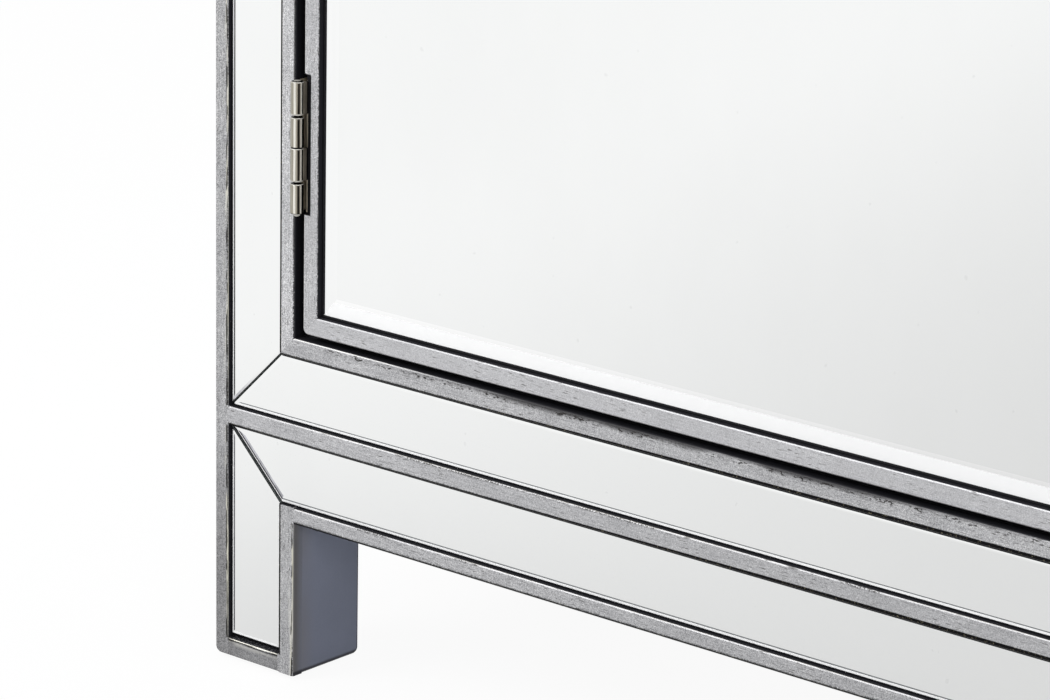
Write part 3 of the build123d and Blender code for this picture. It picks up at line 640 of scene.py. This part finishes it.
def dress(material, *names):
    """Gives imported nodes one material."""
    for name in names:
        mesh = NODES[name].data
        mesh.materials.clear()
        mesh.materials.append(material)


def build(name, body, materials, make):
    """A new piece whose mesh is filled by make(bm)."""
    bm = bmesh.new()
    make(bm)
    bmesh.ops.recalc_face_normals(bm, faces=bm.faces)
    mesh = bpy.data.meshes.new(name)
    bm.to_mesh(mesh)
    bm.free()
    mesh.set_sharp_from_angle(angle=math.radians(28.0))
    for material in materials:
        mesh.materials.append(material)
    piece = bpy.data.objects.new(name, mesh)
    bpy.context.scene.collection.objects.link(piece)
    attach(piece, body)
    return piece


def inset(corners, amount):
    """The corners of a convex outline, moved in by that amount from every side."""
    count = len(corners)
    area = sum(a.x * b.y - b.x * a.y for a, b in zip(corners, corners[1:] + corners[:1]))
    side = math.copysign(1.0, area)
    moved = []
    for i in range(count):
        before = (corners[i] - corners[i - 1]).normalized()
        after = (corners[(i + 1) % count] - corners[i]).normalized()
        inward = Vector((-before.y - after.y, before.x + after.x)) * side
        moved.append(corners[i] + inward * (amount / (1.0 + before.dot(after))))
    return moved


def glass(node, body, corners, to_world, back, thickness, rings, looks, gap):
    """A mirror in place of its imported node.

    Rings are (inset, drop below the face, material) from the edge inward, and each edge has a look
    that says which of these materials it shows in another way.
    """
    outline = inset([Vector(corner) for corner in corners], gap)
    face = back - thickness
    names = list(GLASS)

    def make(bm):
        levels = [(0.0, back, "edge")] + [(amount, face + drop, name) for amount, drop, name in rings]
        loops = []
        for amount, depth, _ in levels:
            loops.append([bm.verts.new(to_world(p.x, p.y, depth)) for p in inset(outline, amount)])
        count = len(outline)
        for ring, (_, _, name) in enumerate(levels[:-1]):
            for i in range(count):
                j = (i + 1) % count
                quad = (loops[ring][i], loops[ring][j], loops[ring + 1][j], loops[ring + 1][i])
                bm.faces.new(quad).material_index = names.index(looks[i].get(name, name))
        bm.faces.new(loops[-1]).material_index = names.index("field")
        bm.faces.new(loops[0]).material_index = names.index("back")

    piece = build(node + "_glass", body, list(GLASS.values()), make)
    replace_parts(piece, node)


def lathe(bm, base, axis, profile, sides, material_index=0):
    """Turns a profile of (radius, distance along the axis) points round an axis."""
    turn = axis.to_track_quat("Z", "Y").to_matrix()
    rings = []
    for radius, along in profile:
        if radius == 0.0:
            rings.append([bm.verts.new(base + turn @ Vector((0, 0, along)))])
            continue
        ring = []
        for n in range(sides):
            angle = 2 * math.pi * n / sides
            spoke = Vector((radius * math.cos(angle), radius * math.sin(angle), along))
            ring.append(bm.verts.new(base + turn @ spoke))
        rings.append(ring)
    for a, b in zip(rings, rings[1:]):
        for n in range(sides):
            m = (n + 1) % sides
            corners = [a[n % len(a)], a[m % len(a)], b[m % len(b)], b[n % len(b)]]
            face = bm.faces.new(list(dict.fromkeys(corners)))
            face.smooth = True
            face.material_index = material_index


def slab(bm, low, high, material_index):
    """A box between two corners, with its edges eased."""
    before = set(bm.faces)
    size = [b - a for a, b in zip(low, high)]
    middle = [(a + b) / 2 for a, b in zip(low, high)]
    place = Matrix.Translation(middle) @ Matrix.Diagonal((*size, 1.0))
    made = bmesh.ops.create_cube(bm, size=1.0, matrix=place)
    edges = list({edge for vert in made["verts"] for edge in vert.link_edges})
    bmesh.ops.bevel(bm, geom=edges, offset=min(size) * 0.12, segments=1, affect="EDGES")
    for face in set(bm.faces) - before:
        face.material_index = material_index


def screw_head(bm, centre, axis, radius):
    """A countersunk head with a crossed slot, almost flush with the plate that it holds."""
    head = bmesh.new()
    bmesh.ops.create_circle(head, cap_ends=True, radius=radius, segments=28)
    bmesh.ops.inset_region(head, faces=head.faces[:], thickness=radius * 0.10, depth=radius * 0.05)
    half, arm = radius * 0.15, radius * 0.60
    for normal in (Vector((1, 0, 0)), Vector((0, 1, 0))):
        for side in (-arm, -half, half, arm):
            parts = head.verts[:] + head.edges[:] + head.faces[:]
            bmesh.ops.bisect_plane(head, geom=parts, plane_co=normal * side, plane_no=normal)
    cross = []
    for face in head.faces:
        middle = face.calc_center_median()
        short_side, long_side = sorted((abs(middle.x), abs(middle.y)))
        if long_side < arm and short_side < half:
            cross.append(face)
    sunk = bmesh.ops.extrude_face_region(head, geom=cross)
    for vert in [part for part in sunk["geom"] if isinstance(part, bmesh.types.BMVert)]:
        vert.co = Vector((vert.co.x * 0.8, vert.co.y * 0.8, vert.co.z - radius * 0.35))
    head.transform(Matrix.Translation(centre) @ axis.to_track_quat("Z", "Y").to_matrix().to_4x4())
    mesh = bpy.data.meshes.new("screw")
    head.to_mesh(mesh)
    head.free()
    bm.from_mesh(mesh)
    bpy.data.meshes.remove(mesh)


# Beads on the front of the carcass
UPRIGHT = {"along": "z", "across": "x"}
LEVEL = {"along": "x", "across": "z"}
BEADS = {
    "outer_beads": dict(
        UPRIGHT, low=X_STRIP_OUT, high=X_OUT, low_style="chipped", shade=0.84, grain_depth=0.9, sides="outer",
        butts=[("low", 0.0, Z_FOOT_TOP), ("low", Z_WAIST, Z_WAIST_TOP), ("low", Z_CROWN, Z_ABOVE_ALL)],
    ),
    "jamb_beads": dict(
        UPRIGHT, low=X_JAMB, high=X_STRIP_IN, low_style="specks", high_style="wide", shade=1.12, grain_depth=0.8,
    ),
    "leg_beads": dict(
        UPRIGHT, low=X_JAMB, high=X_STRIP_IN, low_style="chipped", high_style="wide", shade=0.88, grain_depth=0.8,
        sides="inner", butts=[("high", 0.0, Z_FOOT_TOP), ("low", Z_APRON, Z_APRON_TOP)],
    ),
    "foot_beads": dict(
        LEVEL, low=Z_FOOT, high=Z_FOOT_TOP, high_style="chipped", shade=0.60, grain_depth=0.8, sides="dusty",
    ),
    "apron_bead": dict(
        LEVEL, low=Z_APRON, high=Z_APRON_TOP, low_style="thin", high_style="cream", shade=0.98, grain_depth=0.72,
    ),
    "waist_bead": dict(
        LEVEL, low=Z_WAIST, high=Z_WAIST_TOP, low_style="dark", high_style="cream", shade=1.01, grain_depth=0.62,
    ),
    # The top edge of the sill bead takes the painted shadow of the doors
    "sill_bead": dict(
        LEVEL, low=Z_SILL, high=Z_SILL_TOP, low_style="dark", high_style="sooty", shade=0.95, grain_depth=0.75,
    ),
    "lintel_bead": dict(LEVEL, low=Z_LINTEL, high=Z_LINTEL_TOP, low_style="dark", high_style="cream"),
    "crown_bead": dict(LEVEL, low=Z_CROWN, high=HEIGHT, low_style="dark", shade=0.95, sides="outer"),
}
for bead, settings in BEADS.items():
    dress(bead_paint("silver_" + bead, **settings), bead)

# Frames of the doors
DOOR_BEADS = {
    "hinge_stile": dict(
        UPRIGHT, low=X_DOOR - DOOR_FRAME, high=X_DOOR, low_style="ragged", high_style="rim", grain_depth=0.7,
        notched=True,
    ),
    "meeting_stile": dict(
        UPRIGHT, low=X_MEETING, high=X_MEETING + DOOR_FRAME, low_style="rim", high_style="rim", shade=1.02,
    ),
    "rails": dict(
        LEVEL, low=DOOR_HALF - DOOR_FRAME, high=DOOR_HALF, centre=DOOR_MIDDLE, low_style="cream", shade=1.07,
        grain_depth=0.42,
    ),
}
for member, settings in DOOR_BEADS.items():
    dress(bead_paint("silver_door_" + member, **settings), f"left_door_{member}", f"right_door_{member}")

# Where one bead butts against another: edge, way into the bead, heights
JOINTS = [
    (X_STRIP_OUT, 1, Z_FOOT + BEAD_EASE, Z_FOOT_TOP),
    (X_STRIP_OUT, 1, Z_WAIST, Z_WAIST_TOP),
    (X_STRIP_OUT, 1, Z_CROWN, HEIGHT - BEAD_EASE),
    (X_STRIP_IN, -1, Z_FOOT + BEAD_EASE, Z_FOOT_TOP),
    (X_JAMB, 1, Z_APRON, Z_APRON_TOP),
]
PROUD = 0.00002


def fill_joints(bm):
    """Paint that fills the eased edge between two beads."""
    for edge, into, low, high in JOINTS:
        section = [(edge, -PROUD), (edge + into * BEAD_EASE, -PROUD), (edge, BEAD_EASE)]
        for _, sign in SIDES:
            bottom, top = (
                [bm.verts.new((sign * x, FRONT + depth, z)) for x, depth in section] for z in (low, high)
            )
            bm.faces.new(bottom)
            bm.faces.new(top)
            for n in range(3):
                m = (n + 1) % 3
                bm.faces.new((bottom[n], bottom[m], top[m], top[n]))


joint_paint = bead_paint("silver_joints", "x", "z", -1.0, 3.0, shade=0.9)
build("joint_paint", "carcass", [joint_paint], fill_joints)

# Carcass and fittings
post_paint = frame_paint("silver_posts", "z")
dress(post_paint, "left_front_post", "right_front_post", "left_rear_post", "right_rear_post")
dress(post_paint, "left_side_panel", "right_side_panel")
dress(frame_paint("silver_top", "x"), "top_board")
inside_paint = board_paint("inside_paint", INSIDE_DARK, INSIDE_LIGHT)
dress(inside_paint, "bottom_board", "hat_shelf", "shelf_cleats", "left_door_panel", "right_door_panel")
# The front rails are near black: their paint also stands in for the shade in the gaps round the doors
rail_paint = board_paint("rail_paint", (0.020, 0.020, 0.024), (0.032, 0.032, 0.036))
dress(rail_paint, "front_bottom_rail", "front_top_rail")
dress(hardboard("back_hardboard"), "back_panel")
dress(aged_nickel("knob_nickel"), "left_knob", "right_knob")
zinc = plated("zinc_plate", (0.55, 0.55, 0.56), (0.72, 0.72, 0.74), 0.22, 0.38)
dress(zinc, "left_knob_screw", "right_knob_screw", "left_strike_plate", "right_strike_plate")
dress(plated("socket_nickel", (0.52, 0.50, 0.47), (0.68, 0.66, 0.62), 0.18, 0.30), "rod_sockets")
dress(moulded("catch_plastic", (0.74, 0.74, 0.72), (0.80, 0.80, 0.78)), "magnetic_catch")
dress(moulded("glide_nylon", (0.030, 0.030, 0.032), (0.045, 0.045, 0.047)), "foot_glides")
dress(rod_paint("silver_rod"), "hanging_rod")

# Hinges
hinge_nickel = barrel_nickel("hinge_nickel")
# Painted shade: near-black nickel where the hinges lie in shade, and webs painted a darker brown than the leaves
nickel_in_shade = plated("hinge_nickel_in_shade", (0.004, 0.004, 0.003), (0.010, 0.009, 0.008), 0.35, 0.5)
web_nickel = plated("hinge_webs", (0.16, 0.14, 0.11), (0.26, 0.23, 0.185), 0.35, 0.5, 0.4)
leaf_nickel = plated("hinge_leaf_nickel", (0.50, 0.44, 0.33), (0.70, 0.62, 0.48), 0.3, 0.45, 0.5)
tip_nickel = plated("hinge_tips", (0.56, 0.54, 0.49), (0.72, 0.70, 0.65), 0.18, 0.3, 0.25)
HINGE_NICKELS = [hinge_nickel, nickel_in_shade, tip_nickel, leaf_nickel, web_nickel]
BARREL, DARK, TIP, LEAF, WEB = range(5)
dress(hinge_nickel, "hinge_frame_leaves", "left_hinge_door_leaves", "right_hinge_door_leaves", "hinge_pins")


def between(base, side, x0, x1, y0, y1, z0, z1):
    """Two corners of a box beside a hinge axis, on the side of the leaf."""
    xs = sorted((base.x + side * x0, base.x + side * x1))
    return (xs[0], base.y + y0, base.z + z0), (xs[1], base.y + y1, base.z + z1)


def knuckle(bm, base, low, high, round_low, round_high, low_look):
    """A knuckle of a hinge with rounded ends."""
    profile = [
        (BORE_RADIUS, low),
        (BARREL_RADIUS - round_low, low),
        (BARREL_RADIUS - 0.3 * round_low, low + 0.3 * round_low),
        (BARREL_RADIUS, low + round_low),
        (BARREL_RADIUS, high - round_high),
        (BARREL_RADIUS - 0.3 * round_high, high - 0.3 * round_high),
        (BARREL_RADIUS - round_high, high),
        (BORE_RADIUS, high),
        (BORE_RADIUS, low),
    ]
    # Painted shade: the flat ends and bores of the knuckles are near black, and so is the lower rounding of the
    # frame's knuckles
    for first, last, look in ((0, 2, DARK), (1, 4, low_look), (3, 5, BARREL), (4, 7, TIP), (6, 9, DARK)):
        lathe(bm, base, UPWARD, profile[first:last], 48, look)


def leaves(node, body, signs, toward_door, starts, length, round_low, low_look):
    """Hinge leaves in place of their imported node, with their knuckles, webs and bright noses."""

    def make(bm):
        for sign in signs:
            side = -sign if toward_door else sign
            for level in HINGE_LEVELS:
                base = Vector((sign * X_AXIS, Y_AXIS, level))
                for low in starts:
                    high = low + length
                    knuckle(bm, base, low, high, round_low, FINE_ROUND, low_look)
                    ends = (low + round_low / 2, high - FINE_ROUND / 2)
                    # Painted shade: the webs in a darker nickel, and a near-black strip beside each web, deep in
                    # the notch
                    slab(bm, *between(base, side, LEAF_FACE, BARREL_RADIUS, WEB_START, WEB_END, *ends), WEB)
                    slab(bm, *between(base, side, LEAF_FACE, BARREL_RADIUS, WEB_END, LEAF_EDGE, *ends), DARK)
                ends = (0.0, HINGE_LENGTH)
                slab(bm, *between(base, side, LEAF_FACE, NOSE_FACE, LEAF_EDGE, LEAF_NECK, *ends), LEAF)
                # Painted shade: a near-black strip beside the nose, deep in the notch
                slab(bm, *between(base, side, NOSE_FACE, BARREL_RADIUS, NECK_EDGE, LEAF_NECK, *ends), DARK)
                slab(bm, *between(base, side, LEAF_FACE, BARREL_RADIUS, LEAF_NECK, LEAF_REACH, *ends), LEAF)

    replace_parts(build(node + "_fine", body, HINGE_NICKELS, make), node)


def leaf_screws(name, body, signs, toward_door):
    """Screw heads in each hinge leaf, one above the other."""

    def make(bm):
        for sign in signs:
            side = -sign if toward_door else sign
            for level in HINGE_LEVELS:
                for n in range(LEAF_SCREWS):
                    height = level + HINGE_LENGTH * (n + 0.5) / LEAF_SCREWS
                    place = Vector((sign * X_AXIS + side * LEAF_FACE, Y_AXIS + LEAF_SCREW_DEPTH, height))
                    screw_head(bm, place, Vector((-side, 0, 0)), LEAF_SCREW_RADIUS)

    build(name, body, [aged_nickel(name + "_nickel")], make)


def pins(bm):
    """Hinge pins: near black as painted shade where they show between the knuckles, with a bright button at each
    end.
    """
    low, high = PIN[0].z - LOWEST_HINGE, PIN[1].z - HIGHEST_HINGE
    under, over = -0.00005, HINGE_LENGTH + 0.00005
    foot = [
        (0.0, low),
        (BUTTON_RADIUS - 0.0006, low),
        (BUTTON_RADIUS, low + 0.0005),
        (BUTTON_RADIUS, under),
        (PIN_RADIUS, under),
    ]
    shank = [(PIN_RADIUS, under), (PIN_RADIUS, over)]
    rim = [(PIN_RADIUS, over), (BUTTON_RADIUS, over), (BUTTON_RADIUS, high - 0.0001)]
    cap = [(BUTTON_RADIUS, high - 0.0001), (BUTTON_RADIUS - 0.0002, high), (0.0, high)]
    for _, sign in SIDES:
        for level in HINGE_LEVELS:
            base = Vector((sign * X_AXIS, Y_AXIS, level))
            for profile, look in ((foot, 0), (shank, 1), (rim, 1), (cap, 0)):
                lathe(bm, base, UPWARD, profile, 32, look)


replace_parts(build("hinge_pins_fine", "carcass", [tip_nickel, nickel_in_shade], pins), "hinge_pins")
leaves("hinge_frame_leaves", "carcass", (-1, 1), False, KNUCKLE_STARTS[0::2], FRAME_KNUCKLE, FINE_ROUND, DARK)
leaf_screws("frame_leaf_screws", "carcass", (-1, 1), False)
for name, sign in SIDES:
    node, body = f"{name}_hinge_door_leaves", f"{name}_door"
    leaves(node, body, (sign,), True, KNUCKLE_STARTS[1::2], DOOR_KNUCKLE, SOFT_ROUND, TIP)
    leaf_screws(f"{name}_door_leaf_screws", body, (sign,), True)

# Brads of the back and screws of the strike plates
BRAD_COLUMNS, BRAD_ROWS = 6, 10
BRAD_MARGIN_X, BRAD_MARGIN_Z = 0.008, 0.010
STRIKE_SCREW_SHARES, STRIKE_SCREW_RADIUS, STRIKE_SCREW_LIFT = (0.22, 0.78), 0.0018, 0.00005
BRAD_DOME = [(0.0022, -0.0001), (0.0022, 0.0001), (0.0017, 0.0004), (0.0008, 0.0006), (0.0, 0.00065)]


def brads(bm):
    """Domed brad heads round the edge and across the middle of the back."""
    low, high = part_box("back_panel")
    across, up = high.x - low.x - 2 * BRAD_MARGIN_X, high.z - low.z - 2 * BRAD_MARGIN_Z
    for column in range(BRAD_COLUMNS + 1):
        for row in range(BRAD_ROWS + 1):
            if column in (0, BRAD_COLUMNS) or row in (0, BRAD_ROWS // 2, BRAD_ROWS):
                x = low.x + BRAD_MARGIN_X + across * column / BRAD_COLUMNS
                z = low.z + BRAD_MARGIN_Z + up * row / BRAD_ROWS
                lathe(bm, Vector((x, high.y, z)), BACKWARD, BRAD_DOME, 16)


brad_steel = plated("brad_steel", (0.30, 0.30, 0.31), (0.46, 0.46, 0.48), 0.25, 0.4)
build("back_brads", "carcass", [brad_steel], brads)


def strike_screws(name):
    """Two screw heads in the strike plate of a door."""
    low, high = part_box(f"{name}_strike_plate")
    steel = plated(f"{name}_strike_steel", (0.48, 0.48, 0.49), (0.66, 0.66, 0.68), 0.2, 0.35)

    def make(bm):
        for share in STRIKE_SCREW_SHARES:
            x = low.x + (high.x - low.x) * share
            place = Vector((x, high.y + STRIKE_SCREW_LIFT, (low.z + high.z) / 2))
            screw_head(bm, place, BACKWARD, STRIKE_SCREW_RADIUS)

    build(f"{name}_strike_screws", f"{name}_door", [steel], make)


for name, _ in SIDES:
    strike_screws(name)

# Mirrors: materials, rings of the three kinds of glass, and the looks of an edge
GLASS = {
    "field": mirror_face("mirror_field", MIRROR, 1.0),
    # Painted glint: the bevel is near white and mostly diffuse, so it shows bright under the lamps, and the blend
    # is a brighter mirror between it and the field
    "bevel": mirror_face("mirror_bevel", (0.995, 0.995, 0.995), 0.3, 0.3),
    "blend": mirror_face("mirror_bevel_foot", (0.985, 0.987, 0.986), 0.3),
    "side": mirror_face("mirror_upright_bevel", (0.930, 0.937, 0.934), 0.5),
    # Painted glint: the ground seam of the glass, painted near white and almost wholly diffuse
    "seam": mirror_face("mirror_seam_glint", (0.985, 0.985, 0.985), 0.3, 0.1),
    "line": mirror_face("mirror_bevel_line", (0.26, 0.27, 0.28), 0.5),
    "dim": mirror_face("mirror_dim_line", (0.12, 0.12, 0.13), 0.5),
    "mitre": mitre_shade("mirror_mitre"),
    "wedge": mitre_shade("mirror_wedge", (Z_WAIST_TOP, Z_SILL - 0.010)),
    "seal": mirror_back("mirror_seal", (0.008, 0.008, 0.010), (0.020, 0.020, 0.022)),
    "edge": glass_edge("mirror_edge"),
    "back": mirror_back("mirror_back_paint", (0.10, 0.11, 0.12), (0.20, 0.21, 0.22)),
}
STRIP_THICKNESS, STRIP_GAP = 0.004, 0.00035
DOOR_GLASS_THICKNESS = 0.005
PANEL_THICKNESS = 0.004
STRIP_RINGS = [
    (0.0, 0.0002, "seal"),
    (0.00045, 0.00012, "seam"),
    (0.0012, 0.00003, "shoulder"),
    (0.0015, 0.0, "line"),
    (0.0020, 0.0, "field"),
]
MITRED_RINGS = [
    (0.0, 0.0002, "seal"),
    (0.00045, 0.00015, "seam"),
    (0.0009, 0.00010, "ridge"),
    (0.00125, 0.00006, "shoulder"),
    (0.0015, 0.00003, "line"),
    (0.0021, 0.00001, "fade"),
    (0.0032, 0.0, "field"),
]
DOOR_RINGS = [
    (0.0, 0.0015, "seal"),
    (0.0004, 0.00147, "lip"),
    (0.0010, 0.00142, "bevel"),
    (0.0081, 0.00020, "blend"),
    (0.0100, 0.0, "field"),
]
PANEL_RINGS = [
    (0.0, 0.001, "seal"),
    (0.0004, 0.00096, "bevel"),
    (0.0105, 0.00008, "blend"),
    (0.0115, 0.0, "field"),
]
SEAM = {"ridge": "seam", "shoulder": "seam", "fade": "field"}
PLAIN = {"seam": "field", "ridge": "field", "shoulder": "field", "line": "field", "fade": "field"}
FLUSH = {**PLAIN, "seal": "field"}
BRIGHT = {"shoulder": "seam", "line": "field"}
NARROW = {"shoulder": "field", "line": "field"}
OUTER = {"shoulder": "dim", "line": "dim"}
DARK_OUTER = {"shoulder": "seal", "line": "seal"}
MITRE = {"seam": "seal", "ridge": "seam", "shoulder": "seal", "line": "dim", "fade": "mitre"}
WEDGE = {"seam": "wedge", "shoulder": "wedge", "line": "field"}
LEVEL_BEVEL = {"lip": "seal"}
UPRIGHT_BEVEL = {"lip": "side", "bevel": "side", "blend": "side"}
BEVELS = [LEVEL_BEVEL, UPRIGHT_BEVEL, LEVEL_BEVEL, UPRIGHT_BEVEL]


def on_front(x, z, depth):
    """A point at a depth behind the front; the next three do the same for the other faces."""
    return Vector((x, FRONT + depth, z))


def on_left(y, z, depth):
    return Vector((depth - X_OUT, y, z))


def on_right(y, z, depth):
    return Vector((X_OUT - depth, y, z))


def on_top(x, y, depth):
    return Vector((x, y, HEIGHT - depth))


def rectangle(u0, v0, u1, v1):
    """Its corners, in turn."""
    return [(u0, v0), (u1, v0), (u1, v1), (u0, v1)]


def strip(node, corners, rings, looks):
    """A narrow mirror between the beads of the front."""
    glass(node, "carcass", corners, on_front, BEAD_DEPTH, STRIP_THICKNESS, rings, looks, STRIP_GAP)


Z_LEG_GLASS = Z_FOOT_TOP + 0.0014
LEG = [(X_STRIP_OUT, Z_LEG_GLASS), (X_STRIP_IN, Z_LEG_GLASS), (X_STRIP_IN, Z_APRON_TOP), (X_STRIP_OUT, Z_WAIST)]
STILE = [(X_STRIP_OUT, Z_WAIST_TOP), (X_STRIP_IN, Z_SILL), (X_STRIP_IN, Z_LINTEL_TOP), (X_STRIP_OUT, Z_CROWN)]
for name, sign in SIDES:
    for part, corners, looks in (
        ("leg_mirror", LEG, [BRIGHT, NARROW, PLAIN, OUTER]),
        ("stile_mirror", STILE, [WEDGE, PLAIN, PLAIN, DARK_OUTER]),
    ):
        strip(f"{name}_{part}", [(sign * x, z) for x, z in corners], STRIP_RINGS, looks)
for node, outer, inner, rings, looks in (
    ("sill_mirror", Z_WAIST_TOP, Z_SILL, STRIP_RINGS, [SEAM, FLUSH, PLAIN, FLUSH]),
    ("apron_mirror", Z_WAIST, Z_APRON_TOP, MITRED_RINGS, [PLAIN, MITRE, SEAM, MITRE]),
    ("lintel_mirror", Z_CROWN, Z_LINTEL_TOP, MITRED_RINGS, [PLAIN, MITRE, SEAM, MITRE]),
):
    corners = [(-X_STRIP_OUT, outer), (X_STRIP_OUT, outer), (X_STRIP_IN, inner), (-X_STRIP_IN, inner)]
    strip(node, corners, rings, looks)

for name, on_side in (("left", on_left), ("right", on_right)):
    node, body = f"{name}_door_mirror", f"{name}_door"
    low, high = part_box(node)
    corners = rectangle(low.x, low.z, high.x, high.z)
    glass(node, body, corners, on_front, high.y - FRONT, DOOR_GLASS_THICKNESS, DOOR_RINGS, BEVELS, 0.0)
    node = f"{name}_side_mirror"
    low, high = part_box(node)
    corners = rectangle(low.y, low.z, high.y, high.z)
    back = X_OUT - min(abs(low.x), abs(high.x))
    glass(node, "carcass", corners, on_side, back, PANEL_THICKNESS, PANEL_RINGS, BEVELS, 0.0)
low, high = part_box("top_mirror")
corners = rectangle(low.x, low.y, high.x, high.y)
glass("top_mirror", "carcass", corners, on_top, HEIGHT - low.z, PANEL_THICKNESS, PANEL_RINGS, BEVELS, 0.0)

# Floor: white to the camera, and in the mirrors a little greyer close to the front and the middle, a painted
# shade
FLOOR_REACH = 30.0
floor_mesh = bpy.data.meshes.new("floor")
floor_corners = rectangle(-FLOOR_REACH, -FLOOR_REACH, FLOOR_REACH, FLOOR_REACH)
floor_mesh.from_pydata([(x, y, 0.0) for x, y in floor_corners], [], [(0, 1, 2, 3)])
floor = bpy.data.objects.new("floor", floor_mesh)
bpy.context.scene.collection.objects.link(floor)
pale = Shader("pale_floor")
cloud = pale.noise(2.0, 3.0, 0.5)
pale.finish(Base_Color=pale.mix(cloud, (0.78, 0.78, 0.78), (0.82, 0.82, 0.82)), Roughness=0.9)
camera_ray, seen = pale.rays()
shade = pale.step(pale.abs(pale.x), 0.1, 0.95, 0.73, 0.99)
shade = pale.mul(shade, pale.step(pale.y, -0.50, -0.26, 1.0, 0.93))
glow = pale.nodes.new("ShaderNodeEmission")
pale.put(glow.inputs["Strength"], pale.mul(pale.largest(shade, camera_ray), 1.02))
pale.blend(pale.mul(seen, 0.92), pale.bsdf.outputs[0], glow.outputs[0], pale.nodes["Material Output"])
floor_mesh.materials.append(pale.material)

# World: soft light on the object, white where it is seen
world = bpy.data.worlds.new("studio")
bpy.context.scene.world = world
world.use_nodes = True
world.node_tree.nodes.clear()
studio = Wires(world.node_tree)
skies = []
for colour, strength in (((0.96, 0.98, 1.0), 0.42), ((1.0, 1.0, 1.0), 1.0)):
    sky = studio.nodes.new("ShaderNodeBackground")
    studio.put(sky.inputs["Color"], colour)
    studio.put(sky.inputs["Strength"], strength)
    skies.append(sky.outputs[0])
studio.blend(studio.rays()[1], *skies, studio.nodes.new("ShaderNodeOutputWorld"))


def lamp(name, place, target, size, power):
    """A soft square light aimed at a point."""
    data = bpy.data.lights.new(name, "AREA")
    data.shape = "SQUARE"
    data.size = size
    data.energy = power
    light = bpy.data.objects.new(name, data)
    light.location = place
    light.rotation_euler = (Vector(target) - Vector(place)).to_track_quat("-Z", "Y").to_euler()
    bpy.context.scene.collection.objects.link(light)


lamp("key", (-2.0, -2.6, 2.6), (-0.3, -0.25, 0.6), 1.8, 70.0)
lamp("fill", (2.6, -2.2, 1.6), (0.0, 0.0, 0.7), 2.4, 44.0)
lamp("rear", (0.6, 3.4, 3.0), (0.0, 0.2, 0.9), 2.4, 60.0)

# Camera: fitted to the edges of the front and the leg in the photograph
CAMERA_PLACE = (0.7501, -1.5339, 0.6712)
YAW, PITCH, ROLL = -0.6992, -0.2841, 0.0212
camera_data = bpy.data.cameras.new("camera")
camera_data.sensor_width = 36.0
camera_data.lens = 142.386
camera_data.clip_end = 200.0
camera = bpy.data.objects.new("camera", camera_data)
ahead = Vector((math.cos(PITCH) * math.sin(YAW), math.cos(PITCH) * math.cos(YAW), math.sin(PITCH)))
right = Vector((math.cos(YAW), -math.sin(YAW), 0.0))
up = right.cross(ahead)
tilted_right = right * math.cos(ROLL) + up * math.sin(ROLL)
tilted_up = up * math.cos(ROLL) - right * math.sin(ROLL)
turn = Matrix((tilted_right, tilted_up, -ahead)).transposed()
camera.matrix_world = Matrix.Translation(CAMERA_PLACE) @ turn.to_4x4()
bpy.context.scene.collection.objects.link(camera)
bpy.context.scene.camera = camera
bpy.context.scene.view_settings.view_transform = "Standard"

bpy.context.view_layer.update()
